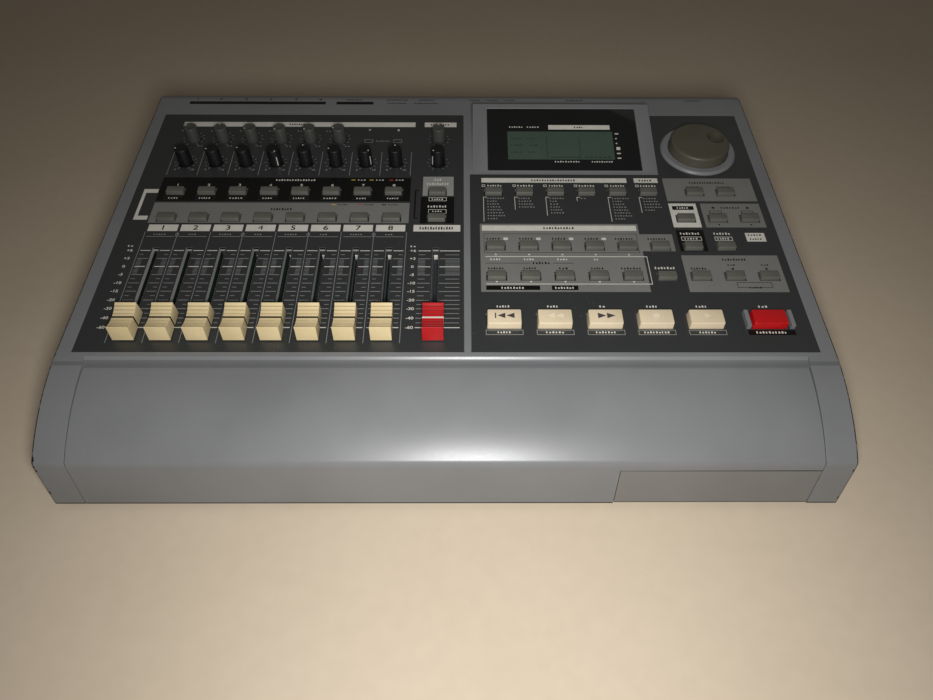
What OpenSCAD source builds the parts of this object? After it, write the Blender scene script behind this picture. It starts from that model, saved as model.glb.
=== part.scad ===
// Desk-top digital multitrack recorder: a sloping control desk in a moulded case.
// Millimetres, +Z up, front towards -Y, origin on the table under the middle of the outline.
// Panel coordinates: x across, v up the slope from the panels' front edge, h square to the slope.

/* [Case] */
// Wall thickness of the moulded case
wall = 2.5; // [1.8:0.1:3]
// Width of the bare cheek beside each control panel
cheek = 9; // [7:0.5:14]
// Height of the panels' front edge above the case's bottom edge
panel_front_h = 57.8; // [54:0.2:64]
// Slope of the control panels in degrees
panel_tilt = 7.1; // [5:0.1:9]
// Depth of the control panels along the slope
panel_len = 213.4; // [208:0.2:222]
// Thickness of the printed panel sheets
film_t = 0.6; // [0.4:0.1:1]
// Reach of the printed sheets past the panel's front edge
film_lap = 1.4; // [0.2:0.1:2]
// Distance from the panels' rear edge to the rear wall, along the slope
rear_strip = 36; // [32:0.5:44]
// Radius of the rounded rear top edge
rear_r = 16; // [8:0.5:18]
// Radius of the long curve from the panels to the nose
crown_r = 127; // [110:1:150]
// Slope in degrees where the long curve meets the nose
nose_tilt = 35.5; // [28:0.5:38]
// Radius of the nose
nose_r = 5.5; // [4.5:0.5:12]
// Outward lean of the front face in degrees
face_lean = 4.7; // [2:0.1:8]
// Height of the rubber feet
foot_h = 4; // [3:0.5:8]
// Radius of the rubber feet
foot_r = 9; // [6:0.5:14]

/* [Palm rest] */
// Width of the cheek beside the palm rest
palm_cheek = 17.5; // [14:0.5:24]
// Distance from the panels' front edge down to the palm rest's rear edge
palm_lip = 10.6; // [3:0.1:13]
// How far the palm rest lies below the case at its rear edge
palm_drop = 1.4; // [1:0.1:6]
// Seam between the palm rest and the case
seam = 0.4; // [0.3:0.05:0.8]
// Width of the drive cover in the front face
bay_w = 107.5; // [90:0.5:115]
// Height of the drive cover
bay_h = 27.4; // [22:0.2:28]

/* [Layout] */
// Spacing of the channels and of the button columns
pitch = 20.62; // [20.2:0.02:22]
// From the left panel's left edge to the first channel
chan_u = 26.8; // [20:0.2:32]
// From the last channel to the master column
master_gap = 29.06; // [24:0.02:34]
// From the master column to the left panel's right edge
master_edge = 17.5; // [14:0.5:22]
// Bare strip between the two panels
spine = 4.2; // [3:0.2:8]
// From the right panel's left edge to its first button column
col_u = 15.6; // [13:0.2:20]
// From the last button column to the right panel's right edge
right_edge = 14.54; // [12:0.02:20]
// Place of the first button row along the slope
row_v = 54.9; // [52:0.1:58]
// Spacing of the button rows
row_pitch = 25; // [24:0.1:26]

/* [Faders] */
// Travel of the faders
fader_travel = 60; // [45:1:62]
// Place of the faders at the bottom of their travel
fader_v = 15.8; // [14:0.1:18]
// Length of a fader cap along its travel
cap_l = 20; // [16:0.5:22]
// Width of a fader cap
cap_w = 11.4; // [10:0.2:14]
// Height of a fader cap's ends above the panel
cap_h = 11.5; // [9:0.1:13]
// Depth of the finger hollow in a fader cap
cap_dip = 2.4; // [1:0.1:3.5]
// Width of a fader slot
slot_w = 4; // [2.2:0.1:4.6]

/* [Knobs and dial] */
// Radius of a knob at its foot
knob_r = 4.8; // [4.2:0.1:5.2]
// Radius of a knob at its top
knob_top_r = 4.3; // [3.8:0.1:5]
// Height of the pan knobs above the panel
pan_h = 12.2; // [9:0.1:14]
// Height of the trim knobs above the panel
trim_h = 10.2; // [8:0.1:14]
// Place of the pan knobs along the slope
pan_v = 159.6; // [157:0.1:163]
// Spacing of the trim knobs behind the pan knobs
trim_gap = 25.7; // [22:0.1:28]
// Radius of a knob shaft
shaft_r = 3; // [2:0.1:3.2]
// Radius of the jog dial
dial_r = 20.5; // [16:0.1:21]
// Height of the jog dial above the panel
dial_h = 10.8; // [6:0.1:12]
// Place of the jog dial along the slope
dial_v = 173; // [172:0.1:178]
// Outer radius of the moulded ring round the jog dial
ring_r = 26; // [24:0.1:27]
// Height of that ring above the panel
ring_h = 2; // [1:0.1:3]

/* [Buttons and keys] */
// Width of a small button
button_w = 11.4; // [9:0.1:12]
// Depth of a small button
button_d = 5.8; // [5:0.1:7]
// Height of a small button above the panel
button_h = 2.4; // [1.8:0.1:4]
// Width of a transport key
key_w = 20; // [17:0.1:21]
// Depth of a transport key
key_d = 11; // [9:0.1:12]
// Height of a transport key above the panel
key_h = 4.2; // [3:0.1:8]
// Place of the transport keys along the slope
key_v = 20.7; // [16:0.1:22]
// Spacing of the transport keys
key_pitch = 29; // [27:0.1:30]
// Key and button travel
press = 1; // [0.6:0.1:1.4]
// Clearance between moving pieces and what they run in
gap = 0.4; // [0.3:0.05:0.5]

/* [Display] */
// Width of the raised display housing
hump_w = 126.5; // [118:0.5:127]
// Place of the housing's front edge along the slope
hump_v = 148.8; // [148:0.1:151]
// Length of the housing's sloping face, measured along the panel
hump_len = 62.5; // [58:0.5:64]
// Height of the housing's rear edge above the panel
hump_rise = 11.1; // [9:0.1:13]
// Length of the housing's rear slope, measured along the panel
hump_back = 15; // [12:0.5:16]
// Width of the display window
win_w = 105.5; // [96:0.5:110]
// Length of the display window along the housing's face
win_l = 56; // [48:0.5:57]
// Thickness of the display window
win_t = 1.4; // [1:0.1:1.5]

/* [Inside and rear] */
// Thickness of the bottom tray
tray_t = 2; // [1.5:0.1:3]
// Height of the tray's rim above the tray's underside
rim_h = 8; // [6:0.5:9]
// Depth of the panel board's top face below the panel surface
board_h = 9; // [8.6:0.1:11]
// Thickness of the circuit boards
pcb_t = 1.6; // [1:0.1:2]
// Thickness of the rear connector plate
plate_t = 2; // [1.5:0.1:3]
// Height of the connectors' middle line above the table
conn_z = 42; // [40:0.5:46]
// How far the rear sockets stand out behind the case
socket_reach = 9.9; // [8:0.1:12]
// Radius of the phone jacks' bore
jack_r = 3.2; // [3.15:0.05:3.3]

/* [Hidden] */
$fn = 64;
CHANNELS = 8;
TRIMS = 6;
COLUMNS = 8;

// Layout across the desk
left_w = chan_u + (CHANNELS - 1) * pitch + master_gap + master_edge;
hump_lead = 2.1;
dial_lead = 5.34;
dial_edge = 9.16;
right_w = max(col_u + COLUMNS * pitch + right_edge, hump_lead + hump_w + dial_lead + 2 * ring_r + dial_edge);
case_w = 2 * cheek + left_w + spine + right_w;
left_x = -case_w / 2 + cheek;
right_x = left_x + left_w + spine;
master_x = left_x + left_w - master_edge;
hump_x = right_x + hump_lead;
dial_x = hump_x + hump_w + dial_lead + ring_r;
trim_v = pan_v + trim_gap;
function chan_x(i) = left_x + chan_u + i * pitch;
function col_x(j) = right_x + col_u + j * pitch;
function row(k) = row_v + k * row_pitch;
key_u = 18.9;
record_gap = 7.2;
function key_x(k) = right_x + key_u + k * key_pitch + (k == 5 ? record_gap : 0);

// Side profile
face_top = 90 - face_lean;
crown_z = foot_h + panel_front_h;
nose_z = crown_z - crown_r * (cos(panel_tilt) - cos(nose_tilt)) - nose_r * (cos(nose_tilt) - cos(face_top));
lean_run = (nose_z - foot_h) * tan(face_lean);
nose_run = nose_r * (sin(face_top) - sin(nose_tilt));
crown_run = crown_r * (sin(nose_tilt) - sin(panel_tilt));
top_run = (panel_len + rear_strip) * cos(panel_tilt);
case_d = lean_run + nose_run + crown_run + top_run + socket_reach;
front_y = -case_d / 2;
crown_y = front_y + lean_run + nose_run + crown_run;
rear_y = crown_y + top_run;
crown_c = [crown_y + crown_r * sin(panel_tilt), crown_z - crown_r * cos(panel_tilt)];
nose_c = crown_c + (crown_r - nose_r) * [-sin(nose_tilt), cos(nose_tilt)];
nose_p = nose_c + nose_r * [-sin(nose_tilt), cos(nose_tilt)];
function panel_z(y) = crown_z + (y - crown_y) * tan(panel_tilt);
function skin_z(y) = y > crown_y ? panel_z(y) : crown_c[1] + sqrt(crown_r ^ 2 - (y - crown_c[0]) ^ 2);
rear_c = [rear_y - rear_r, panel_z(rear_y - rear_r) - rear_r / cos(panel_tilt)];

// Points of an arc about c, from the direction a0 to a1, both measured forward from straight up
function arc(c, r, a0, a1, n = 24) =
    [for (k = [0:n]) let (a = a0 + (a1 - a0) * k / n) c + r * [-sin(a), cos(a)]];
function rest(points) = [for (k = [1:len(points) - 1]) points[k]];
function foot_y(inset, z) = front_y + inset / cos(face_lean) + (z - foot_h) * tan(face_lean);
function case_profile(inset, z) = concat(
    [[rear_y - inset, z]],
    arc(rear_c, rear_r - inset, -90, panel_tilt),
    arc(crown_c, crown_r - inset, panel_tilt, nose_tilt),
    rest(arc(nose_c, nose_r - inset, nose_tilt, face_top)),
    [[foot_y(inset, z), z]]);

// Palm rest: one arc from its lower rear edge that runs smoothly into the nose
palm_x = case_w / 2 - palm_cheek;
palm_y = crown_y - palm_lip;
palm_z = skin_z(palm_y) - palm_drop;
palm_a = 2 * atan((palm_z - nose_p[1]) / (palm_y - nose_p[0])) - nose_tilt;
palm_r = (palm_y - nose_p[0]) / (sin(nose_tilt) - sin(palm_a));
palm_c = nose_p + palm_r * [sin(nose_tilt), -cos(nose_tilt)];
function palm_profile(inset, y, z) = concat(
    [[y, z]],
    arc(palm_c, palm_r - inset, asin((palm_c[0] - y) / (palm_r - inset)), nose_tilt),
    rest(arc(nose_c, nose_r - inset, nose_tilt, face_top)),
    [[foot_y(inset, z), z]]);
flange_l = 9;
lip_y = palm_y + seam + 0.53 * palm_lip;
lip_in = 0.17 * palm_lip;
// Points of the cove from the lip's edge down to the palm rest's rear edge
function cove(n = 12) =
    let (a = [lip_y, skin_z(lip_y)], b = [lip_y - lip_in, palm_z], c = [palm_y + seam, palm_z])
    [for (k = [0:n]) let (t = k / n) (1 - t) ^ 2 * a + 2 * t * (1 - t) * b + t ^ 2 * c];
bay_x = palm_x - bay_w;
bay_z = 0.6;

// Display housing
hump_tilt = atan(hump_rise / hump_len);
hump_fall = atan(hump_rise / hump_back);
hump_end = hump_v + hump_len + hump_back;
hump_face = hump_len / cos(hump_tilt);
hump_in_v = (hump_end * tan(hump_fall) - wall / cos(hump_fall) + hump_v * tan(hump_tilt)
    + wall / cos(hump_tilt)) / (tan(hump_tilt) + tan(hump_fall));
hump_in_h = (hump_in_v - hump_v) * tan(hump_tilt) - wall / cos(hump_tilt);
win_x = hump_x + hump_w / 2;
win_f = (hump_face - win_l) / 2 - 0.75;
ledge = 3;
module_t = 4.5;

// Fits under the panel
flange = 0.7;
flange_t = 0.8;
switch_h = 1.5;
switch_w = 6;
stem_end = board_h - switch_h - press - gap;
stem_t = 1.4;
stem_l = 5;
track_w = 8.5;
track_h = 8;
track_end = 6;
blade_end = board_h + pcb_t + 5;
hole_r = knob_r + 0.7;
shaft_gap = 0.15;
pot_w = 10;
pot_d = 11;
pot_h = board_h - wall - 1.7;
rail_t = 2.4;
rail_l = 11.6;
rail_h = 3.4;
rail_x = key_w / 2 + gap + 1 + rail_t / 2;

// Places of the bosses that carry the panel board: column beside a channel, place along the slope
BOSSES = [
    [chan_x(0.5), 7], [chan_x(3.5), 7], [chan_x(6.5), 7],
    [chan_x(0.5), 92], [chan_x(3.5), 92], [chan_x(6.5), 92],
    [chan_x(0.5), 144], [chan_x(3.5), 144], [chan_x(6.5), 144],
    [chan_x(0.5), 204], [chan_x(3.5), 204], [chan_x(6.5), 204],
    [col_x(0.5), 40], [col_x(4.5), 40], [col_x(7.5), 40],
    [col_x(0.5), 92], [col_x(4.5), 92], [col_x(7.5), 92], [col_x(7.5), 143]];
boss_r = 3;

// Places of the small buttons as [x, v], bank by bank
SELECT = [for (i = [0:CHANNELS - 1]) [chan_x(i), row(3)]];
STATUS = [for (i = [0:CHANNELS - 1]) [chan_x(i), row(2)]];
EDIT = [for (j = [0:5]) [col_x(j), row(3)]];
LOCATE = [for (k = [0:1], j = [0:5]) [col_x(j), row(k)]];
FUNCTION = concat(
    [for (k = [2:3]) [master_x, row(k)]],
    [for (j = [6.5, 7.5]) [col_x(j), row(3)]],
    [for (j = [6:8]) [col_x(j), row(2)]],
    [for (j = [6:7]) [col_x(j), row(1)]],
    [for (j = [6:8]) [col_x(j), row(0)]]);
BUTTONS = concat(SELECT, STATUS, EDIT, LOCATE, FUNCTION);
KEYS = [for (k = [0:5]) [key_x(k), key_v]];
FADERS = concat([for (i = [0:CHANNELS - 1]) chan_x(i)], [master_x]);
PANS = concat([for (i = [0:CHANNELS - 1]) [chan_x(i), pan_v]], [[master_x, pan_v]]);
TRIM = concat([for (i = [0:TRIMS - 1]) [chan_x(i), trim_v]], [[master_x, trim_v]]);
// Pointer angles clockwise from straight back, as the knobs are set
PAN_SET = [-90, -100, -80, 150, -10, -90, 126, 0, -124];
TRIM_SET = [-60, -10, -115, -130, -130, -100, 0];

// Places on the rear plate
phone_pitch = 18.3;
phono_pitch = 16;
phono_rise = 9;
PHONES = concat(
    [for (i = [0:5]) [left_x + 19.5 + i * phone_pitch, conn_z]],
    [for (s = [-1, 1]) [left_x + 199, conn_z + s * 10]]);
PHONOS = [for (i = [0:3], s = [-1, 1]) [left_x + 132 + i * phono_pitch, conn_z + s * phono_rise]];
DINS = [for (i = [0:1]) [left_x + 227 + i * 26, conn_z]];
bus_x = left_x + 302;
inlet_x = left_x + 358;
switch_x = left_x + 391;
plate_open_x = case_w / 2 - 12;
plate_open_z = [conn_z - 23, conn_z + 23];
plate_lap = 4;
socket_fit = 0.15;
jack_nut = [6.4, 2];
jack_sleeve = [4.6, 7];
jack_body = [14, 15, 26];
jack_deep = 22;
phono_ring = [6.4, 1.2];
phono_r = 4.15;
phono_pin = [1.65, 9];
phono_body = [13, 16, 14];
din_rim = [9.6, 2];
din_r = 8.2;
din_bore = [6.75, 7];
din_body = [20, 20, 14];
bus_flange = [53, 12.5, 1.2];
bus_body = [40, 9, 12];
bus_shell = [19.5, 18, 4.2, 5.6];
bus_nut = [23.5, 2.8, 5];
inlet_rim = [32, 25, 2];
inlet_body = [27, 20, 18];
inlet_well = [23.6, 16, 16];
inlet_pin = [2, 4];
INLET_PINS = [[-7, 1.5], [0, -2.5], [7, 1.5]];
rocker = [12, 18.4, 5];
rocker_waist = 2.6;
rocker_back = [6, 13];
rocker_rest = 8;
rocker_gap = 0.5;
frame_w = 2;

// Places inside
tray_x = case_w / 2 - wall - seam;
tray_y = [front_y + wall + 4, rear_y - wall - plate_t - 0.5];
floor_z = foot_h + tray_t;
post_x = case_w / 2 - wall - 7;
POSTS = [for (s = [-1, 1], y = [crown_y - 42, crown_y + 106, rear_y - 24]) [s * post_x, y]];
post_r = 4;
board_x = post_x - post_r - 1;
screw_r = 1.5;
main_x = [left_x + 20, left_x + 284];
main_y = [crown_y + 8, rear_y - 42];
main_z = floor_z + 8;
stand_r = 3.5;
stand_in = 8;
chip = [26, 26, 3];
chip_pitch = [52, 62];
chip_in = 40;
drive = [bay_w - 6, 108, 22];
drive_back = 8;
drive_slot = [bay_w - 10, 5, 16];
supply_base = [86, 72, 10];
supply_core = [46, 50, 26];
supply_cap = [8, 24];
supply_lead = [46, 120];

// Placing helpers
module along_x(x0, x1) {
    translate([x0, 0, 0])
    rotate([90, 0, 90])
    linear_extrude(x1 - x0)
    children();
}
module on_panel() {
    translate([0, crown_y, crown_z])
    rotate([panel_tilt, 0, 0])
    children();
}
module on_hump() {
    on_panel()
    translate([0, hump_v, 0])
    rotate([hump_tilt, 0, 0])
    children();
}
module on_face() {
    translate([0, front_y, foot_h])
    rotate([-face_lean, 0, 0])
    children();
}
module on_rear(p) {
    translate([p[0], rear_y - wall, p[1]])
    rotate([-90, 0, 0])
    children();
}
module block(size, h0, h1) {
    translate([-size[0] / 2, -size[1] / 2, h0])
    cube([size[0], size[1], h1 - h0]);
}
module at(places) {
    for (p = places) translate([p[0], p[1], 0]) children();
}

// Cut-outs that the controls need in the panel sheets and in the case under them
module control_cutouts() {
    at(BUTTONS) square([button_w + 2 * gap, button_d + 2 * gap], center = true);
    at(KEYS) square([key_w + 2 * gap, key_d + 2 * gap], center = true);
    at(concat(PANS, TRIM)) circle(hole_r);
    for (x = FADERS)
        translate([x - slot_w / 2, fader_v - stem_l / 2 - gap])
        square([slot_w, fader_travel + stem_l + 2 * gap]);
}
module rail_places() {
    for (s = [-1, 1]) translate([key_x(5) + s * rail_x, key_v]) children();
}
module left_outline(grow) {
    translate([left_x - grow, -film_lap - grow])
    square([left_w + 2 * grow, panel_len + film_lap + 2 * grow]);
}
module right_outline(grow) {
    translate([right_x - grow, -film_lap - grow])
    square([right_w + 2 * grow, hump_v - 1 + film_lap + 2 * grow]);
    translate([hump_x + hump_w - grow, -film_lap - grow])
    square([right_x + right_w - hump_x - hump_w + 2 * grow, panel_len + film_lap + 2 * grow]);
}

// Moulded upper case with the display housing, dial ring, guard rails, board bosses and screw posts
module hump_solid() {
    on_panel()
    along_x(hump_x, hump_x + hump_w)
    polygon([[hump_v, -wall], [hump_v, 0], [hump_v + hump_len, hump_rise], [hump_end, 0], [hump_end, -wall]]);
}
module hump_hollow() {
    under = -wall - 1;
    on_panel()
    along_x(hump_x + wall, hump_x + hump_w - wall)
    polygon([
        [hump_v + wall, under],
        [hump_v + wall, wall * tan(hump_tilt) - wall / cos(hump_tilt)],
        [hump_in_v, hump_in_h],
        [hump_end - (wall / cos(hump_fall) + under) / tan(hump_fall), under]]);
}
// The case's front lip turns down in a cove to the palm rest's lower rear edge
module case_shell() {
    difference() {
        along_x(-case_w / 2, case_w / 2) polygon(case_profile(0, foot_h));
        difference() {
            along_x(-case_w / 2 + wall, case_w / 2 - wall) polygon(case_profile(wall, foot_h - 1));
            for (s = [-1, 1])
                translate([s * (palm_x + seam + wall / 2) - wall / 2, front_y - 1, floor_z + seam])
                cube([wall, lip_y + wall - front_y + 1, crown_z]);
            translate([-palm_x - seam - 1, palm_y + seam - 1, palm_z - wall])
            cube([2 * (palm_x + seam + 1), lip_y + wall - palm_y - seam + 1, crown_z]);
        }
        along_x(-palm_x - seam, palm_x + seam)
        polygon(concat(
            [[palm_y + seam, foot_h - 1], [front_y - 1, foot_h - 1], [front_y - 1, crown_z + wall],
             [lip_y, crown_z + wall]],
            cove()));
    }
}
module top_case() {
    color("#85878a")
    difference() {
        union() {
            case_shell();
            hump_solid();
            on_panel() {
                translate([dial_x, dial_v, 0])
                rotate_extrude()
                polygon([[dial_r + gap, -film_t - 0.2], [ring_r, -film_t - 0.2], [ring_r, ring_h * 0.4],
                    [ring_r - ring_h * 0.6, ring_h], [dial_r + gap, ring_h]]);
                rail_places() block([rail_t, rail_l], -film_t - 0.2, rail_h);
                at(BOSSES) translate([0, 0, -board_h]) cylinder(r = boss_r, h = board_h - wall + 0.4);
            }
            for (p = POSTS)
                translate([p[0], p[1], floor_z])
                cylinder(r = post_r, h = skin_z(p[1]) - wall - floor_z + 0.3);
        }
        hump_hollow();
        on_panel() {
            translate([0, 0, -film_t])
            linear_extrude(film_t + hump_rise)
            difference() {
                union() {
                    left_outline(0.1);
                    right_outline(0.1);
                }
                translate([dial_x, dial_v]) circle(ring_r);
                rail_places() square([rail_t, rail_l], center = true);
                translate([hump_x, hump_v]) square([hump_w, hump_len + hump_back]);
            }
            translate([0, 0, -wall - 1]) linear_extrude(wall + 1) control_cutouts();
            translate([dial_x, dial_v, -wall - 1]) cylinder(r = shaft_r + gap, h = wall + 2);
        }
        on_hump()
        translate([win_x, win_f + win_l / 2, 0]) {
            block([win_w + 0.3, win_l + 0.3], -win_t, 1);
            block([win_w - 2 * ledge, win_l - 2 * ledge], -wall - 1, 1);
        }
        translate([-plate_open_x, rear_y - wall - 1, plate_open_z[0]])
        cube([2 * plate_open_x, wall + 2, plate_open_z[1] - plate_open_z[0]]);
        for (p = POSTS)
            translate([p[0], p[1], floor_z - 1])
            cylinder(r = screw_r + 0.1, h = 14);
    }
}

// Printed sheets let into the case round all the controls
module control_panels() {
    color("#33383a")
    on_panel()
    translate([0, 0, -film_t])
    linear_extrude(film_t)
    difference() {
        union() {
            left_outline(0);
            right_outline(0);
        }
        control_cutouts();
        translate([dial_x, dial_v]) circle(ring_r + 0.1);
        rail_places() square([rail_t + 0.2, rail_l + 0.2], center = true);
    }
}

module palm_rest() {
    color("#85878a")
    difference() {
        along_x(-palm_x, palm_x)
        difference() {
            polygon(palm_profile(0, palm_y, foot_h));
            polygon(palm_profile(wall, palm_y - wall, foot_h - 1));
            translate([palm_y - wall - 1, foot_h - 1]) square([wall + 2, palm_z - foot_h - flange_l]);
        }
        on_face()
        translate([bay_x - seam, -1, -1])
        cube([bay_w + seam + 1, wall + 3, bay_z + bay_h + seam + 1]);
    }
}

module drive_cover() {
    color("#7d7f82")
    on_face()
    translate([bay_x, 0, bay_z])
    cube([bay_w, wall, bay_h]);
}

module bottom_tray() {
    color("#5c5f63")
    difference() {
        union() {
            translate([-tray_x, tray_y[0], foot_h])
            difference() {
                cube([2 * tray_x, tray_y[1] - tray_y[0], rim_h]);
                translate([1.5, 1.5, tray_t])
                cube([2 * tray_x - 3, tray_y[1] - tray_y[0] - 3, rim_h]);
            }
            main_stands();
        }
        for (p = POSTS)
            translate([p[0], p[1], foot_h - 1])
            cylinder(r = screw_r + 0.2, h = tray_t + 2);
        for (s = [-1, 1])
            translate([s * (palm_x + seam + wall / 2) - wall, tray_y[0] - 1, floor_z])
            cube([2 * wall, palm_y - tray_y[0] + 6, rim_h]);
    }
}
module main_stands() {
    for (x = [main_x[0] + stand_in, main_x[1] - stand_in], y = [main_y[0] + stand_in, main_y[1] - stand_in])
        translate([x, y, foot_h])
        cylinder(r = stand_r, h = main_z - foot_h);
}

module feet() {
    color("#1d1d1d")
    for (sx = [-1, 1], y = [tray_y[0] + 28, tray_y[1] - 26])
        translate([sx * (case_w / 2 - 42), y, 0])
        cylinder(r1 = foot_r - 1, r2 = foot_r, h = foot_h);
}

module case_screws() {
    color("#8f9296")
    for (p = POSTS)
        translate([p[0], p[1], 0]) {
            translate([0, 0, foot_h - 2]) cylinder(r = 3, h = 2);
            translate([0, 0, foot_h - 1]) cylinder(r = screw_r, h = 13);
        }
}

// Display
module display_window() {
    color("#15181a")
    on_hump()
    translate([win_x, win_f + win_l / 2, 0])
    block([win_w, win_l], -win_t, 0);
}
module display_module() {
    color("#3f5648")
    on_hump()
    translate([win_x, win_f + win_l / 2, 0])
    union() {
        block([win_w - ledge, win_l - ledge], -wall - module_t, -wall);
        block([win_w - 3 * ledge, win_l - 3 * ledge], -wall - 1, -win_t - 0.4);
    }
}

// Boards and the fixed parts of the controls
module panel_board() {
    color("#2f6b3a")
    on_panel()
    union() {
        translate([0, 0, -board_h - pcb_t])
        linear_extrude(pcb_t)
        difference() {
            translate([-board_x, 3]) square([2 * board_x, panel_len - 6]);
            for (x = FADERS)
                translate([x - slot_w / 2, fader_v - stem_l / 2 - 1])
                square([slot_w, fader_travel + stem_l + 2]);
        }
        at(concat(BUTTONS, KEYS)) block([switch_w, switch_w], -board_h - 0.1, -board_h + switch_h);
    }
}
module fader_tracks() {
    color("#9a9da1")
    on_panel()
    for (x = FADERS)
        translate([x, fader_v + fader_travel / 2, 0])
        difference() {
            block([track_w, fader_travel + stem_l + 2 * track_end],
                -board_h - pcb_t - track_h, -board_h - pcb_t);
            block([stem_t + 2 * gap, fader_travel + stem_l + 2 * gap],
                -board_h - pcb_t - track_h + 1.5, -board_h);
        }
}
module knob_pots() {
    color("#3a3f44")
    on_panel()
    at(concat(PANS, TRIM))
    difference() {
        block([pot_w, pot_d], -board_h, -board_h + pot_h);
        translate([0, 0, -board_h - 1]) cylinder(r = shaft_r + shaft_gap, h = pot_h + 2);
    }
}
module dial_encoder() {
    color("#3a3f44")
    on_panel()
    translate([dial_x, dial_v, 0])
    difference() {
        block([14, 14], -board_h, -board_h + pot_h);
        translate([0, 0, -board_h - 1]) cylinder(r = shaft_r + shaft_gap, h = pot_h + 2);
    }
}
module main_board() {
    color("#2f6b3a")
    union() {
        translate([main_x[0], main_y[0], main_z])
        cube([main_x[1] - main_x[0], main_y[1] - main_y[0], pcb_t]);
        for (i = [0:3], k = [0:1])
            translate([main_x[0] + chip_in + i * chip_pitch[0],
                main_y[0] + chip_in + k * chip_pitch[1], main_z])
            cube([chip[0], chip[1], pcb_t + chip[2]]);
    }
}
module hard_drive() {
    color("#a9adb1")
    translate([bay_x + (bay_w - drive[0]) / 2, front_y + wall + drive_back, floor_z])
    difference() {
        cube(drive);
        translate([(drive[0] - drive_slot[0]) / 2, -1, (drive[2] - drive_slot[2]) / 2])
        cube([drive_slot[0], drive_slot[1] + 1, drive_slot[2]]);
    }
}
module power_supply() {
    color("#8c9094")
    translate([inlet_x - supply_lead[0], rear_y - supply_lead[1], floor_z])
    union() {
        cube(supply_base);
        translate([supply_cap[0] - 2, supply_cap[0], supply_base[2]]) cube(supply_core);
        for (y = [supply_base[1] * 0.3, supply_base[1] * 0.65])
            translate([supply_base[0] - 2.5 * supply_cap[0], y, supply_base[2]])
            cylinder(r = supply_cap[0], h = supply_cap[1]);
    }
}

// Rear plate and its sockets
module rear_plate() {
    color("#3a3d40")
    difference() {
        union() {
            translate([-plate_open_x - plate_lap, rear_y - wall - plate_t, plate_open_z[0] - plate_lap])
            cube([2 * (plate_open_x + plate_lap), plate_t,
                plate_open_z[1] - plate_open_z[0] + 2 * plate_lap]);
            on_rear([switch_x, conn_z]) rocker_hole(frame_w, -plate_t, frame_w);
        }
        for (p = PHONES) on_rear(p) socket_hole(jack_sleeve[0]);
        for (p = PHONOS) on_rear(p) socket_hole(phono_r);
        for (p = DINS) on_rear(p) socket_hole(din_r);
        on_rear([bus_x, conn_z])
        block([bus_body[0] + 1, bus_body[1] + 1], -plate_t - 1, 1);
        on_rear([inlet_x, conn_z])
        block([inlet_body[0] + 2 * socket_fit, inlet_body[1] + 2 * socket_fit], -plate_t - 1, 1);
        on_rear([switch_x, conn_z]) rocker_hole(0, -plate_t - 1, frame_w + 1);
    }
}
module socket_hole(r) {
    translate([0, 0, -plate_t - 1]) cylinder(r = r + socket_fit, h = plate_t + 2);
}
module rocker_hole(grow, h0, h1) {
    block([rocker[0] + 2 * (rocker_gap + grow), rocker[1] + 2 * (rocker_gap + 0.8 + grow)], h0, h1);
}
module phone_jacks() {
    color("#26282a")
    for (p = PHONES)
        on_rear(p)
        difference() {
            union() {
                cylinder(r = jack_nut[0], h = jack_nut[1], $fn = 6);
                translate([0, 0, -plate_t - 1])
                cylinder(r = jack_sleeve[0], h = plate_t + 1 + jack_sleeve[1]);
                block(jack_body, -plate_t - jack_body[2], -plate_t);
            }
            translate([0, 0, -plate_t - jack_deep])
            cylinder(r = jack_r, h = plate_t + jack_deep + 2 * jack_sleeve[1]);
        }
}
module phono_sockets() {
    color("#b58a2e")
    for (p = PHONOS)
        on_rear(p)
        difference() {
            union() {
                translate([0, 0, -plate_t - 1]) cylinder(r = phono_r, h = plate_t + 1 + wall + socket_reach);
                cylinder(r = phono_ring[0], h = phono_ring[1]);
                block(phono_body, -plate_t - phono_body[2], -plate_t);
            }
            translate([0, 0, wall + socket_reach - phono_pin[1]])
            cylinder(r = phono_pin[0], h = 2 * phono_pin[1]);
        }
}
module din_sockets() {
    color("#26282a")
    for (p = DINS)
        on_rear(p)
        difference() {
            union() {
                cylinder(r = din_rim[0], h = din_rim[1]);
                translate([0, 0, -plate_t - 1]) cylinder(r = din_r, h = plate_t + din_rim[1]);
                block(din_body, -plate_t - din_body[2], -plate_t);
            }
            translate([0, 0, -plate_t - din_bore[1]])
            cylinder(r = din_bore[0], h = plate_t + din_bore[1] + 2 * din_rim[1]);
        }
}
module bus_socket() {
    color("#9a9da1")
    on_rear([bus_x, conn_z])
    union() {
        block(bus_flange, 0, bus_flange[2]);
        translate([0, 0, bus_flange[2] - 0.1])
        linear_extrude(bus_shell[3])
        polygon([[-bus_shell[0], -bus_shell[2]], [bus_shell[0], -bus_shell[2]],
            [bus_shell[1], bus_shell[2]], [-bus_shell[1], bus_shell[2]]]);
        for (s = [-1, 1])
            translate([s * bus_nut[0], 0, bus_flange[2] - 0.2])
            cylinder(r = bus_nut[1], h = bus_nut[2], $fn = 6);
        block(bus_body, -plate_t - bus_body[2], bus_flange[2] / 2);
    }
}
module power_inlet() {
    color("#1d1d1d")
    on_rear([inlet_x, conn_z])
    union() {
        difference() {
            union() {
                block(inlet_rim, 0, inlet_rim[2]);
                block(inlet_body, -plate_t - inlet_body[2], inlet_rim[2] / 2);
            }
            block(inlet_well, -plate_t - inlet_well[2], inlet_rim[2] + 1);
        }
        for (p = INLET_PINS)
            translate(p) block(inlet_pin, -plate_t - inlet_body[2] + 1, -5);
    }
}
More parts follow.
